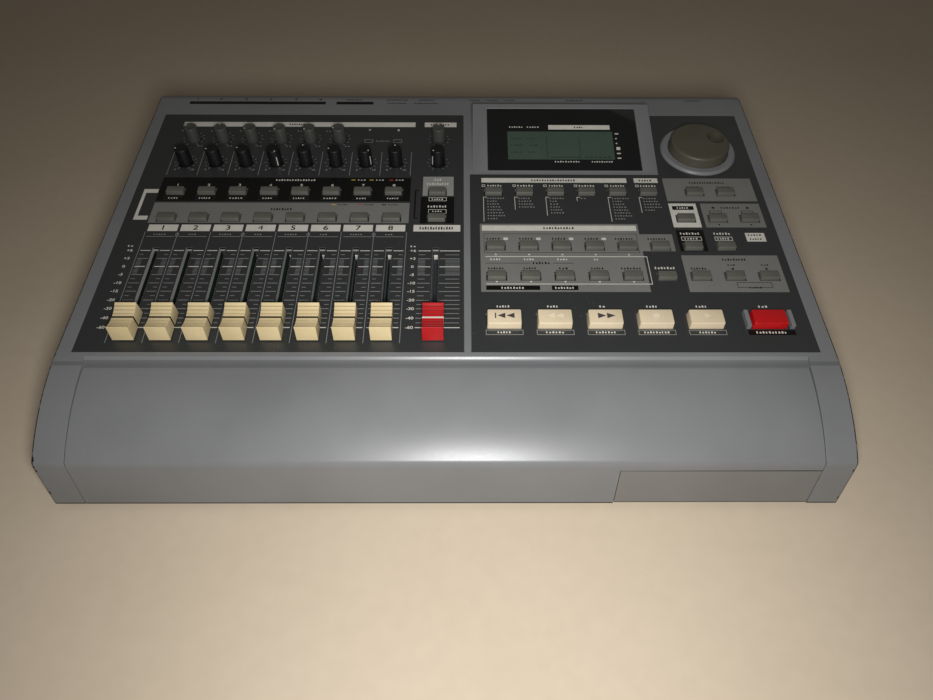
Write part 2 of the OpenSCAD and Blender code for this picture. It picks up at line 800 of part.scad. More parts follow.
module power_switch() {
    color("#141414")
    translate([switch_x, rear_y - wall, conn_z])
    rotate([rocker_rest, 0, 0])
    along_x(-rocker[0] / 2, rocker[0] / 2)
    polygon([[-rocker_back[0], -rocker_back[1] / 2], [-rocker_back[0], rocker_back[1] / 2],
        [rocker[2], rocker[1] / 2], [rocker_waist, 0], [rocker[2], -rocker[1] / 2]]);
}

// Moving controls
module button_cap(size, top) {
    union() {
        block(size, -wall - gap - flange_t, top);
        block([size[0] + 2 * (gap + flange), size[1] + 2 * (gap + flange)],
            -wall - gap - flange_t, -wall - gap);
        block([switch_w - 1, switch_w - 1], -stem_end, -wall - gap);
    }
}
module buttons(places) {
    color("#8b8a84")
    on_panel()
    at(places)
    button_cap([button_w, button_d], button_h);
}
module key(k) {
    color(k == 5 ? "#c4161c" : "#e5d6a6")
    on_panel()
    translate(KEYS[k])
    button_cap([key_w, key_d], key_h);
}
module knob(place, set, top, shade) {
    skirt = -wall / 2;
    color(shade)
    on_panel()
    translate(place)
    rotate([0, 0, -set])
    difference() {
        union() {
            translate([0, 0, skirt]) cylinder(r1 = knob_r, r2 = knob_top_r, h = top - skirt);
            translate([0, 0, -board_h + gap]) cylinder(r = shaft_r, h = board_h);
        }
        translate([-0.5, knob_top_r - 2, top - 0.5]) cube([1, 4, 1]);
    }
}
module fader(x, shade) {
    foot = 1;
    half = cap_l / 2;
    hollow_r = ((half - 1) ^ 2 + cap_dip ^ 2) / (2 * cap_dip);
    hollow_a = asin((half - 1) / hollow_r);
    color(shade)
    on_panel()
    translate([x, fader_v, 0])
    union() {
        along_x(-cap_w / 2, cap_w / 2)
        polygon(concat(
            [[half, foot], [half - 1, cap_h]],
            [for (k = [1:11]) let (a = hollow_a * (1 - k / 6))
                [hollow_r * sin(a), cap_h - cap_dip + hollow_r * (1 - cos(a))]],
            [[1 - half, cap_h], [-half, foot]]));
        block([stem_t, stem_l], -blade_end, foot + 1);
    }
}
module jog_dial() {
    dome = 0.8;
    edge = 2;
    foot = 0.8;
    dimple_r = 18;
    dimple_deep = 1.6;
    dimple_turn = 18;
    color("#55524a")
    on_panel()
    translate([dial_x, dial_v, 0])
    difference() {
        union() {
            rotate_extrude()
            polygon(concat(
                [[0, foot], [dial_r, foot], [dial_r - 0.4, dial_h - edge]],
                [for (k = [1:6]) let (a = 15 * k)
                    [dial_r - 0.4 - edge * (1 - cos(a)), dial_h - dome - (edge - dome) * (1 - sin(a))]],
                [[0, dial_h]]));
            translate([0, 0, -board_h + gap]) cylinder(r = shaft_r, h = board_h + 1);
        }
        rotate([0, 0, dimple_turn])
        translate([dial_r / 2, 0, dial_h - dimple_deep + dimple_r])
        sphere(r = dimple_r);
    }
}

top_case();
bottom_tray();
palm_rest();
drive_cover();
control_panels();
display_window();
display_module();
rear_plate();
phone_jacks();
phono_sockets();
din_sockets();
bus_socket();
power_inlet();
power_switch();
main_board();
panel_board();
fader_tracks();
knob_pots();
dial_encoder();
hard_drive();
power_supply();
feet();
case_screws();
buttons(SELECT);  // select_buttons
buttons(STATUS);  // status_buttons
buttons(EDIT);  // edit_buttons
buttons(LOCATE);  // locate_buttons
buttons(FUNCTION);  // function_buttons
key(0);  // zero_key
key(1);  // rewind_key
key(2);  // forward_key
key(3);  // stop_key
key(4);  // play_key
key(5);  // record_key
jog_dial();
fader(master_x, "#c4161c");  // master_fader
knob(PANS[CHANNELS], PAN_SET[CHANNELS], pan_h, "#1b1b1c");  // monitor_knob
knob(TRIM[TRIMS], TRIM_SET[TRIMS], trim_h, "#77776f");  // aux_knob
for (i = [1:CHANNELS])
    fader(chan_x(i - 1), "#e5d6a6");
for (i = [1:CHANNELS])
    knob(PANS[i - 1], PAN_SET[i - 1], pan_h, "#1b1b1c");
for (i = [1:TRIMS])
    knob(TRIM[i - 1], TRIM_SET[i - 1], trim_h, "#77776f");
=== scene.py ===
import math

import bmesh
import bpy
from mathutils import Matrix, Vector


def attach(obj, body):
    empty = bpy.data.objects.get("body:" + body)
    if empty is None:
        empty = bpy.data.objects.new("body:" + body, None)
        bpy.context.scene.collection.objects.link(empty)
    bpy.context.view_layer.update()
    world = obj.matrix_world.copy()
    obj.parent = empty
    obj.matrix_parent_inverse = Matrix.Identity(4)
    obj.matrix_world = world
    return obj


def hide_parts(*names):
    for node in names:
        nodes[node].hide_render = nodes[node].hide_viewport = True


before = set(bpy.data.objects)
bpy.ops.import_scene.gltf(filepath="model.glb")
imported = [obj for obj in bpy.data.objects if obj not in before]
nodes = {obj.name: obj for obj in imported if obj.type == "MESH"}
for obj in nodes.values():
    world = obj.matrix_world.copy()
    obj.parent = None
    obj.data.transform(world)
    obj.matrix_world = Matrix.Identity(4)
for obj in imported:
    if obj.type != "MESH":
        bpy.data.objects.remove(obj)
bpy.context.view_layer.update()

base = "recorder"  # the body that all fixed pieces ride on
print("frame loaded with", len(nodes), "nodes")

# the desk's own places: x across, v up the slope from the panels' front edge, h square to it, in mm
desk = {
    "frontY": -97.24396, "frontZ": 61.8, "tilt": 7.1,
    "humpV": 148.8, "humpTilt": 10.071, "rearY": 150.24362, "wall": 2.5,
    "firstChannel": -181.7, "firstColumn": 29.0, "pitch": 20.62, "master": -8.3,
    "rows": (54.9, 79.9, 104.9, 129.9), "panV": 159.6, "trimV": 185.3,
    "faderV": 15.8, "travel": 60.0, "keyV": 20.7, "dial": (173.34, 173.0),
}
pitch, master, rows = desk["pitch"], desk["master"], desk["rows"]
channels = [desk["firstChannel"] + pitch * k for k in range(8)]
columns = [desk["firstColumn"] + pitch * k for k in range(9)]
keyX = [32.3, 61.3, 90.3, 119.3, 148.3, 184.5]
onPanel = (Matrix.Translation((0, desk["frontY"] / 1000, desk["frontZ"] / 1000))
           @ Matrix.Rotation(math.radians(desk["tilt"]), 4, "X"))
onHump = (onPanel @ Matrix.Translation((0, desk["humpV"] / 1000, 0))
          @ Matrix.Rotation(math.radians(desk["humpTilt"]), 4, "X"))
rearFace = (desk["rearY"] - desk["wall"]) / 1000
# seen from behind: x to the left of the desk, y up, z out
onRear = Matrix(((-1, 0, 0, 0), (0, 0, 1, rearFace), (0, 1, 0, 0), (0, 0, 0, 1)))


# camera
camera = {"place": (7.41, -370.465, 351.7), "pitch": 46.72, "yaw": 0.66, "roll": 0.507, "lens": 27.55}


def setCamera():
    down, yaw, roll = (math.radians(camera[key]) for key in ("pitch", "yaw", "roll"))
    ahead = Vector((math.sin(yaw) * math.cos(down), math.cos(yaw) * math.cos(down), -math.sin(down)))
    right = Vector((math.cos(yaw), -math.sin(yaw), 0))
    up = right.cross(ahead)
    rolledRight = math.cos(roll) * right + math.sin(roll) * up
    rolledUp = math.cos(roll) * up - math.sin(roll) * right
    bpy.ops.object.camera_add()
    eye = bpy.context.object
    eye.matrix_world = (Matrix.Translation(Vector(camera["place"]) / 1000)
                        @ Matrix((rolledRight, rolledUp, -ahead)).transposed().to_4x4())
    eye.data.lens = camera["lens"]
    eye.data.sensor_width = 36
    eye.data.clip_start = 0.01
    bpy.context.scene.camera = eye


setCamera()
print("camera set")


# colours and nodes
def srgb(code):
    parts = [int(code[k:k + 2], 16) / 255 for k in (1, 3, 5)]
    return tuple(p / 12.92 if p <= 0.04045 else ((p + 0.055) / 1.055) ** 2.4 for p in parts) + (1,)


def addNode(tree, kind, settings, values, links, out=0):  # gives the output that the next node takes
    node = tree.nodes.new("ShaderNode" + kind)
    for key, value in settings.items():
        setattr(node, key, value)
    for key, value in values.items():
        node.inputs[key].default_value = value
    for key, source in links.items():
        tree.links.new(source, node.inputs[key])
    return node.outputs[out]


def startMaterial(name, ior):  # with no IOR it is a metal, which keeps the default
    mat = bpy.data.materials.new(name)
    mat.use_nodes = True
    shader = mat.node_tree.nodes["Principled BSDF"]
    if ior:
        shader.inputs["IOR"].default_value = ior
    else:
        shader.inputs["Metallic"].default_value = 1.0
    return mat, mat.node_tree, shader, addNode(mat.node_tree, "TexCoord", {}, {}, {}, "Object")


def closeMaterial(tree, shader, colour, glossFrom, rough, height, strength, deepMm):
    gloss = addNode(tree, "MapRange", {}, {"To Min": rough[0], "To Max": rough[1]}, {"Value": glossFrom})
    relief = addNode(tree, "Bump", {}, {"Strength": strength, "Distance": deepMm / 1000}, {"Height": height})
    tree.links.new(colour, shader.inputs["Base Color"])
    tree.links.new(gloss, shader.inputs["Roughness"])
    tree.links.new(relief, shader.inputs["Normal"])


# one finish for every moulded, painted or plated piece: mottled colour, uneven gloss and a fine grain
def finish(name, look):
    colour, shade, patchMm, grainMm, deepMm, rough, ior, fleck = look
    mat, tree, shader, spot = startMaterial(name, ior)
    patch = addNode(tree, "TexNoise", {}, {"Scale": 1000 / patchMm, "Detail": 4.0, "Roughness": 0.6},
                    {"Vector": spot})
    grain = addNode(tree, "TexNoise", {}, {"Scale": 1000 / grainMm, "Detail": 2.0}, {"Vector": spot})
    spread = addNode(tree, "MapRange", {}, {"From Min": 0.3, "From Max": 0.7}, {"Value": patch})
    tone = addNode(tree, "Mix", {"data_type": "RGBA"}, {6: srgb(colour), 7: srgb(shade)}, {0: spread}, 2)
    flecks = addNode(tree, "MapRange", {},
                     {"From Min": 0.35, "From Max": 0.65, "To Min": 1 - fleck, "To Max": 1.0},
                     {"Value": grain})
    speckled = addNode(tree, "VectorMath", {"operation": "SCALE"}, {}, {0: tone, "Scale": flecks})
    closeMaterial(tree, shader, speckled, patch, rough, grain, 0.5, deepMm)
    return mat


# ABS sprayed in satin grey over a dark moulding: orange peel, rubbed patches, corner chips, a painted shadow
# along the foot
caseLook = {
    "coat": "#7a7b7c", "rubbed": "#717273", "plastic": "#16181a", "ior": 1.46, "peelMm": 0.3,
    "peelDeepMm": 0.003, "patchMm": 70, "raggedMm": 2.2, "rough": (0.29, 0.39), "shadowHemMm": 4.9,
    "chips": [((-217.6, -154.8, 39.0), 1.8), ((-217.8, -156.4, 36.2), 2.4), ((-217.7, -157.6, 33.2), 1.9),
              ((217.4, -154.6, 39.4), 1.5), ((217.4, -157.9, 32.5), 1.5), ((217.3, -159.5, 9.0), 1.4),
              ((-217.3, -159.8, 14.0), 2.0)],
}
coveShadeLook = {**caseLook, "coat": "#6a6b6c", "rubbed": "#626364"}  # painted shade: the cove behind the palm rest is coloured darker
coverLook = {**caseLook, "coat": "#777775", "rubbed": "#6f6e6c", "shadowHemMm": 5.4}  # a browner batch of paint, with a taller painted shadow band along its foot


def caseCoat(name, look, worn=False):
    mat, tree, shader, spot = startMaterial(name, look["ior"])
    patch = addNode(tree, "TexNoise", {}, {"Scale": 1000 / look["patchMm"], "Detail": 5.0}, {"Vector": spot})
    peel = addNode(tree, "TexNoise", {}, {"Scale": 1000 / look["peelMm"], "Detail": 2.0}, {"Vector": spot})
    ragged = addNode(tree, "TexNoise", {}, {"Scale": 1000 / look["raggedMm"], "Detail": 4.0},
                     {"Vector": spot})
    spread = addNode(tree, "MapRange", {}, {"From Min": 0.35, "From Max": 0.7}, {"Value": patch})
    tone = addNode(tree, "Mix", {"data_type": "RGBA"}, {6: srgb(look["coat"]), 7: srgb(look["rubbed"])},
                   {0: spread}, 2)
    flecks = addNode(tree, "MapRange", {}, {"From Min": 0.3, "From Max": 0.7, "To Min": 0.95, "To Max": 1.0},
                     {"Value": peel})
    paint = addNode(tree, "VectorMath", {"operation": "SCALE"}, {}, {0: tone, "Scale": flecks})
    if worn:  # the rubbed edge shows dark plastic along most of its length
        bareOrShadow = addNode(tree, "MapRange", {}, {"From Min": 0.26, "From Max": 0.44}, {"Value": ragged})
    else:  # a painted shadow band along the foot, and a ragged ball of bare plastic round each chipped corner
        height = addNode(tree, "SeparateXYZ", {}, {}, {0: spot}, "Z")
        bareOrShadow = addNode(tree, "Math", {"operation": "LESS_THAN"}, {1: look["shadowHemMm"] / 1000}, {0: height})
        for place, reach in look["chips"]:
            away = addNode(tree, "VectorMath", {"operation": "DISTANCE"}, {1: [c / 1000 for c in place]},
                           {0: spot}, "Value")
            edge = addNode(tree, "Math", {"operation": "MULTIPLY_ADD"}, {1: reach / 1000, 2: reach / 2500},
                           {0: ragged})
            inside = addNode(tree, "Math", {"operation": "LESS_THAN"}, {}, {0: away, 1: edge})
            bareOrShadow = addNode(tree, "Math", {"operation": "MAXIMUM"}, {}, {0: bareOrShadow, 1: inside})
    colour = addNode(tree, "Mix", {"data_type": "RGBA"}, {7: srgb(look["plastic"])}, {0: bareOrShadow, 6: paint}, 2)
    peelSpread = addNode(tree, "MapRange", {}, {"From Min": 0.35, "From Max": 0.65}, {"Value": peel})
    closeMaterial(tree, shader, colour, peelSpread, look["rough"], peel, 0.4, look["peelDeepMm"])
    return mat


# polycarbonate overlay with a velvet back print: near black, fine matt tooth, a few dust specks
filmLook = {"colour": "#313333", "shade": "#2c2e2e", "dust": "#77787a", "ior": 1.58, "toothMm": 0.35,
            "deepMm": 0.006, "patchMm": 45, "rough": (0.32, 0.4), "speckMm": 3.2}


def overlayFilm(name, look):
    mat, tree, shader, spot = startMaterial(name, look["ior"])
    tooth = addNode(tree, "TexNoise", {}, {"Scale": 1000 / look["toothMm"], "Detail": 2.0}, {"Vector": spot})
    patch = addNode(tree, "TexNoise", {}, {"Scale": 1000 / look["patchMm"], "Detail": 4.0}, {"Vector": spot})
    tone = addNode(tree, "Mix", {"data_type": "RGBA"}, {6: srgb(look["colour"]), 7: srgb(look["shade"])},
                   {0: patch}, 2)
    specks = addNode(tree, "TexVoronoi", {}, {"Scale": 1000 / look["speckMm"]}, {"Vector": spot})
    dusty = addNode(tree, "MapRange", {}, {"From Min": 0.07, "From Max": 0.045}, {"Value": specks})
    rare = addNode(tree, "Math", {"operation": "GREATER_THAN"}, {1: 0.58}, {0: patch})
    lies = addNode(tree, "Math", {"operation": "MULTIPLY"}, {}, {0: dusty, 1: rare})
    colour = addNode(tree, "Mix", {"data_type": "RGBA"}, {7: srgb(look["dust"])}, {0: lies, 6: tone}, 2)
    closeMaterial(tree, shader, colour, patch, look["rough"], tooth, 0.4, look["deepMm"])
    return mat


# a row gives colour, its shade, patch, grain and grain depth in mm, roughness, IOR (None for a metal), fleck
looks = {
    # ABS moulded in cream, yellowed by age, satin from a spark-eroded tool; the faders yellowed further
    "creamAbs": ("#dccbae", "#d3c2a1", 14, 0.3, 0.006, (0.34, 0.48), 1.53, 0.03),
    "faderAbs": ("#dfcca0", "#d6c293", 14, 0.3, 0.006, (0.34, 0.48), 1.53, 0.03),
    # ABS moulded in red, as smooth as the cream
    "redAbs": ("#bd1216", "#ab0f14", 12, 0.3, 0.006, (0.32, 0.46), 1.53, 0.04),
    # the same mouldings, darkened in the grooves for grime and painted shade
    "creamGrimeAndShade": ("#bfa97c", "#ad9870", 3, 0.3, 0.004, (0.5, 0.65), 1.53, 0.1),
    "redGrimeAndShade": ("#7c1013", "#6a0e10", 3, 0.3, 0.004, (0.5, 0.65), 1.53, 0.1),
    # ABS moulded in black with a soft lacquer
    "blackAbs": ("#0d0e0e", "#121313", 9, 0.25, 0.006, (0.38, 0.52), 1.53, 0.1),
    # ABS moulded in warm grey
    "greyAbs": ("#464743", "#40413d", 9, 0.25, 0.006, (0.4, 0.52), 1.53, 0.04),
    # silicone-topped button, dull warm grey
    "buttonGrey": ("#605f58", "#595851", 7, 0.25, 0.006, (0.42, 0.55), 1.45, 0.04),
    # ABS with rubbed soft-feel paint, olive grey, and the same paint polished by fingertips in the dimple
    "dialGrey": ("#524f42", "#4b483b", 16, 0.35, 0.01, (0.4, 0.55), 1.5, 0.08),
    "dialWorn": ("#4a463b", "#413e34", 6, 0.5, 0.002, (0.17, 0.23), 1.5, 0.05),
    # bare light moulding inside the fader slots
    "slotAbs": ("#9a9c98", "#8f918d", 8, 0.4, 0.004, (0.45, 0.55), 1.53, 0.04),
    # cast acrylic, black behind: hard gloss with fine rubbing marks
    "windowAcrylic": ("#151717", "#191b1b", 30, 1.5, 0.001, (0.05, 0.09), 1.49, 0.04),
    # nickel and thin gold plate on turned brass: bright, a little cloudy
    "nickel": ("#b9b6ae", "#a7a49c", 5, 0.3, 0.004, (0.22, 0.36), None, 0.04),
    "goldPlate": ("#cdb069", "#b99c58", 5, 0.3, 0.004, (0.22, 0.34), None, 0.04),
    # sheet steel, zinc plated: dull spangle
    "zincSteel": ("#a3a5a6", "#929496", 8, 0.6, 0.006, (0.32, 0.5), None, 0.04),
    # sheet steel, powder coated charcoal: fine pebbled skin
    "coatedSteel": ("#3a3d3f", "#343739", 40, 0.5, 0.02, (0.48, 0.6), 1.5, 0.1),
    # synthetic rubber, dusty black
    "rubber": ("#1d1d1d", "#262625", 12, 0.5, 0.02, (0.7, 0.85), 1.52, 0.1),
    # glass-epoxy board under green solder resist; the copy behind the panel is painted near black, a painted
    # shade in the slots
    "boardInShade": ("#17221b", "#131c17", 6, 0.8, 0.01, (0.4, 0.5), 1.55, 0.15),
    "boardEpoxy": ("#2c6437", "#25562f", 6, 0.8, 0.01, (0.3, 0.42), 1.55, 0.15),
    # nylon, white and red: waxy
    "whiteNylon": ("#dcdad2", "#cfccc2", 4, 0.3, 0.004, (0.4, 0.5), 1.53, 0.04),
    "redNylon": ("#b3262a", "#a01f23", 4, 0.3, 0.004, (0.4, 0.5), 1.53, 0.04),
    # screen-printed inks: dense, dull, slightly uneven
    "whiteInk": ("#d3d0c6", "#c7c4ba", 5, 0.4, 0.003, (0.45, 0.6), 1.5, 0.06),
    "mistInk": ("#85898b", "#7a7e80", 5, 0.4, 0.003, (0.45, 0.6), 1.5, 0.08),
    "plateInk": ("#777672", "#70706c", 25, 0.4, 0.003, (0.45, 0.56), 1.5, 0.05),
    "paleInk": ("#93928e", "#8b8a86", 25, 0.4, 0.003, (0.45, 0.56), 1.5, 0.05),
    "signInk": ("#433d3d", "#4b4544", 3, 0.4, 0.003, (0.4, 0.55), 1.5, 0.1),
    "blackInk": ("#070808", "#0b0c0c", 20, 0.4, 0.003, (0.28, 0.36), 1.5, 0.1),
    "yellowInk": ("#c9a63a", "#b9972f", 5, 0.4, 0.003, (0.45, 0.6), 1.5, 0.04),
    "redInk": ("#b43a2c", "#a13226", 5, 0.4, 0.003, (0.45, 0.6), 1.5, 0.04),
    "fadedInk": ("#e4d7bd", "#dfd1b5", 3, 0.4, 0.003, (0.45, 0.6), 1.5, 0.04),
    # reflective liquid-crystal glass behind the window: green grey, even gloss
    "crystalGlass": ("#44544a", "#3f4f45", 22, 0.45, 0.001, (0.14, 0.2), 1.49, 0.06),
    "crystalDark": ("#27332b", "#2b372f", 6, 0.45, 0.001, (0.14, 0.2), 1.49, 0.04),
    # plain glazed floor
    "floorGlaze": ("#cfbfa9", "#c8b8a0", 260, 9, 0.02, (0.66, 0.76), 1.5, 0.03),
}
mats = {name: finish(name, look) for name, look in looks.items()}
mats["caseCoat"] = caseCoat("caseCoat", caseLook)
mats["wornEdge"] = caseCoat("wornEdge", caseLook, worn=True)
mats["coveShadeCoat"] = caseCoat("coveShadeCoat", coveShadeLook)
mats["coverCoat"] = caseCoat("coverCoat", coverLook)
mats["overlayFilm"] = overlayFilm("overlayFilm", filmLook)
print("finishes mixed:", len(mats))


# hand moves that every piece uses
def alone(obj=None):
    if bpy.context.object and bpy.context.object.mode != "OBJECT":
        bpy.ops.object.mode_set(mode="OBJECT")
    bpy.ops.object.select_all(action="DESELECT")
    if obj:
        obj.select_set(True)
        bpy.context.view_layer.objects.active = obj
    return obj


def choose(obj, kind, test):
    alone(obj)
    bpy.ops.object.mode_set(mode="EDIT")
    bpy.ops.mesh.select_mode(type=kind)
    bpy.ops.mesh.select_all(action="DESELECT")
    mesh = bmesh.from_edit_mesh(obj.data)
    mesh.normal_update()
    parts = {"VERT": mesh.verts, "EDGE": mesh.edges, "FACE": mesh.faces}[kind]
    chosen = [part for part in parts if test(part)]
    for part in chosen:
        part.select_set(True)
    bmesh.update_edit_mesh(obj.data)
    return len(chosen)


def recoat(obj, slot):  # the chosen faces take another of the piece's finishes
    obj.active_material_index = slot
    bpy.ops.object.material_slot_assign()


def soften(obj, test, width, steps, clamp=True):
    if choose(obj, "EDGE", test):
        bpy.ops.mesh.bevel(offset=width, segments=steps, affect="EDGES", clamp_overlap=clamp)


def sharp(edge, degrees=25):
    return len(edge.link_faces) == 2 and edge.calc_face_angle(0) > math.radians(degrees)


def added(primitive, **settings):  # a new primitive, its size and place kept in its mesh
    alone()
    primitive(**settings)
    bpy.ops.object.transform_apply()
    return bpy.context.object


def startBox(name, size, low):
    obj = added(bpy.ops.mesh.primitive_cube_add, size=1, location=(0, 0, low + size[2] / 2), scale=size)
    obj.name = name
    return obj


def startChain(name, points):  # a row of vertices in the y-z plane, drawn out point by point
    obj = added(bpy.ops.mesh.primitive_plane_add, size=1)
    obj.name = name
    bpy.ops.object.mode_set(mode="EDIT")
    bpy.ops.mesh.select_mode(type="VERT")
    bpy.ops.mesh.select_all(action="SELECT")
    bpy.ops.mesh.merge(type="CENTER")
    bpy.ops.transform.translate(value=(0, points[0][0], points[0][1]))
    for a, b in zip(points, points[1:]):
        bpy.ops.mesh.extrude_vertices_move(TRANSFORM_OT_translate={"value": (0, b[0] - a[0], b[1] - a[1])})
    bpy.ops.mesh.select_all(action="SELECT")
    return obj


def drawOut(name, points, half):  # a closed profile drawn out along x
    obj = startChain(name, points)
    bpy.ops.mesh.edge_face_add()
    bpy.ops.transform.translate(value=(-half, 0, 0))
    bpy.ops.mesh.extrude_region_move(TRANSFORM_OT_translate={"value": (2 * half, 0, 0)})
    bpy.ops.mesh.select_all(action="SELECT")
    bpy.ops.mesh.normals_make_consistent(inside=False)
    return alone(obj)


def turnOut(name, points, steps):  # a profile turned about z
    obj = startChain(name, points)
    bpy.ops.mesh.spin(steps=steps, angle=2 * math.pi, center=(0, 0, 0), axis=(0, 0, 1))
    bpy.ops.mesh.select_all(action="SELECT")
    bpy.ops.mesh.remove_doubles(threshold=0.002)
    bpy.ops.mesh.normals_make_consistent(inside=False)
    return alone(obj)


def twin(obj, name, place=(0, 0, 0)):
    copy = obj.copy()
    copy.data = obj.data.copy()
    copy.name = name
    copy.location = place
    bpy.context.scene.collection.objects.link(copy)
    return copy


def joined(parts, name):
    alone(parts[0])
    for part in parts[1:]:
        part.select_set(True)
    if len(parts) > 1:
        bpy.ops.object.join()
    parts[0].name = name
    return parts[0]


def dress(obj, *names):
    obj.data.materials.clear()
    for name in names:
        obj.data.materials.append(mats[name])
    return obj


def softBox(name, size, low, width, steps, finishName):
    obj = startBox(name, size, low)
    soften(obj, sharp, width, steps)
    return dress(alone(obj), finishName)


def applied(obj, kind, **settings):
    alone(obj)
    mod = obj.modifiers.new("step", kind)
    for key, value in settings.items():
        setattr(mod, key, value)
    bpy.ops.object.modifier_apply(modifier=mod.name)


def settle(obj, place, body, slot=None, stands=(), angle=32):
    alone(obj)
    obj.matrix_world = place @ Matrix.Scale(0.001, 4) @ obj.matrix_basis
    bpy.ops.object.transform_apply()
    bpy.ops.object.shade_smooth_by_angle(angle=math.radians(angle))
    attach(obj, body)
    if stands:
        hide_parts(*stands)


def spot(x, v, turn=0, place=onPanel):
    return (place @ Matrix.Translation((x / 1000, v / 1000, 0))
            @ Matrix.Rotation(math.radians(turn), 4, "Z"))


def fromNode(node, name):  # a merged copy of a CAD solid, with its flat faces whole again
    copy = bpy.data.objects.new(name, nodes[node].data.copy())
    bpy.context.scene.collection.objects.link(copy)
    alone(copy)
    bpy.ops.object.mode_set(mode="EDIT")
    bpy.ops.mesh.select_all(action="SELECT")
    bpy.ops.mesh.remove_doubles(threshold=2e-6)
    bpy.ops.mesh.dissolve_limited(angle_limit=math.radians(0.4))
    return alone(copy)


def keepNode(obj, node):
    alone(obj)
    bpy.ops.object.shade_smooth_by_angle(angle=math.radians(30))
    applied(obj, "WEIGHTED_NORMAL", keep_sharp=True)
    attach(obj, base)
    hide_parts(node)


# case: the moulded shell with softened edges, worn dark along the cheeks; rounds are y, z, radius in mm
shell = {"halfWidth": 217.5, "cheekRound": 0.9, "edgeRound": 0.3, "near": 0.08,
         "rounds": {"crown": (-81.547, -64.226, 127.0), "nose": (-152.102, 34.689, 5.5),
                    "palm": (-90.119, -52.208, 112.238), "rear": (134.244, 74.51, 16.0)},
         "face": (-160.144, 4.0, 4.7), "cove": ((-107.6, -103.2), (57.8, 60.8))}


def onSkin(co):
    y, z = co.y * 1000, co.z * 1000
    slope = math.radians(desk["tilt"])
    v = (y - desk["frontY"]) * math.cos(slope) + (z - desk["frontZ"]) * math.sin(slope)
    h = (z - desk["frontZ"]) * math.cos(slope) - (y - desk["frontY"]) * math.sin(slope)
    if v > -0.2 and h > -shell["near"]:
        return True
    for middleY, middleZ, radius in shell["rounds"].values():
        if abs(math.hypot(y - middleY, z - middleZ) - radius) < shell["near"] and z > middleZ:
            return True
    footY, footZ, lean = shell["face"]
    faceY = footY + (z - footZ) * math.tan(math.radians(lean))
    return abs(y - faceY) < shell["near"] or y > desk["rearY"] - 0.06


def cheekEdge(edge):
    ends = [p.co for p in edge.verts]
    return (sharp(edge) and all(abs(co.x) * 1000 > shell["halfWidth"] - 0.05 and onSkin(co) for co in ends)
            and max(co.z for co in ends) > 0.01)


def skinEdge(edge):
    return sharp(edge) and all(onSkin(p.co) and p.co.z * 1000 > 4.05 for p in edge.verts)


def inCove(face):
    middle = face.calc_center_median() * 1000
    (y0, y1), (z0, z1) = shell["cove"]
    return y0 < middle.y < y1 and z0 < middle.z < z1 and face.normal.z > -0.1


case = dress(fromNode("top_case", "case_moulding"), "caseCoat", "wornEdge", "coveShadeCoat")
soften(case, cheekEdge, shell["cheekRound"] / 1000, 3, clamp=False)
recoat(case, 1)
soften(case, skinEdge, shell["edgeRound"] / 1000, 2, clamp=False)
# the cove faces take the darker coat, a painted shade under the lip
choose(case, "FACE", inCove)
recoat(case, 2)
keepNode(case, "top_case")

rest = dress(fromNode("palm_rest", "palm_moulding"), "caseCoat")
soften(rest, skinEdge, shell["edgeRound"] / 1000, 2, clamp=False)
keepNode(rest, "palm_rest")

cover = dress(fromNode("drive_cover", "drive_door"), "coverCoat", "blackAbs")
soften(cover, sharp, shell["edgeRound"] / 1000, 2, clamp=False)
choose(cover, "FACE", lambda f: f.normal.z > 0.5)  # the top faces of the cover are painted black, a painted shade in the seam over it
recoat(cover, 1)
keepNode(cover, "drive_cover")

# light liners in the fader slots, narrower at the throat, the pale stops behind their rear ends, and a black
# sheet of painted shade at each rear end
liner = {"size": (3.96, 65.7, 2.67), "low": -2.7, "mouth": 3.9, "throat": 3.3, "end": 0.1}
stop = {"size": (2.6, 0.7, 4.0), "v": 78.9, "low": -10.6, "shelf": (3.2, 0.6, 3.8), "shelfLow": -6.55,
        "end": (3.88, 0.24, 2.5), "shadeSheetLow": -2.56, "shadeSheetIn": 0.36}


def makeLiner():
    across, along, deep = liner["size"]
    body = startBox("slotLiner", liner["size"], liner["low"])
    cut = startBox("slotCut", (liner["mouth"], along - liner["end"], deep + 0.2), liner["low"] - 0.1)
    choose(cut, "FACE", lambda f: f.normal.z < -0.9)
    bpy.ops.transform.resize(value=(liner["throat"] / liner["mouth"], 0.99, 1))
    alone(cut)
    applied(body, "BOOLEAN", operation="DIFFERENCE", object=cut, solver="EXACT")
    bpy.data.objects.remove(cut)
    return dress(body, "slotAbs")


def makeStop():
    peg = softBox("slotStop", stop["size"], stop["low"], 0.15, 2, "whiteNylon")
    shelf = softBox("slotShelf", stop["shelf"], stop["shelfLow"], 0.15, 2, "coatedSteel")
    # a black sheet high in the slot's end: painted shade where the cut looks dark
    end = softBox("slotShadeSheet", stop["end"], stop["shadeSheetLow"], 0.06, 2, "blackAbs")
    end.location = (0, -stop["shadeSheetIn"], 0)
    return joined([peg, shelf, end], "slotStop")


for pattern, name, v in ((makeLiner(), "slot_liners", desk["faderV"] + desk["travel"] / 2),
                         (makeStop(), "slot_stops", stop["v"])):
    settle(joined([twin(pattern, name, (x, v, 0)) for x in channels + [master]], name), onPanel, base)
    bpy.data.objects.remove(pattern)
print("case dressed")


# small buttons: a drafted cap with a rolled rim
button = {"size": (11.4, 5.8), "top": 2.4, "low": -3.7, "corner": 0.5, "rim": 0.4, "draft": 0.15}
banks = {
    "select_buttons": [(x, rows[3]) for x in channels],
    "status_buttons": [(x, rows[2]) for x in channels],
    "edit_buttons": [(x, rows[3]) for x in columns[:6]],
    "locate_buttons": [(x, rows[k]) for k in (0, 1) for x in columns[:6]],
    "function_buttons": (
        [(master, rows[2]), (master, rows[3])] + [(columns[0] + pitch * k, rows[3]) for k in (6.5, 7.5)]
        + [(x, rows[2]) for x in columns[6:]] + [(x, rows[1]) for x in columns[6:8]]
        + [(x, rows[0]) for x in columns[6:]]),
}


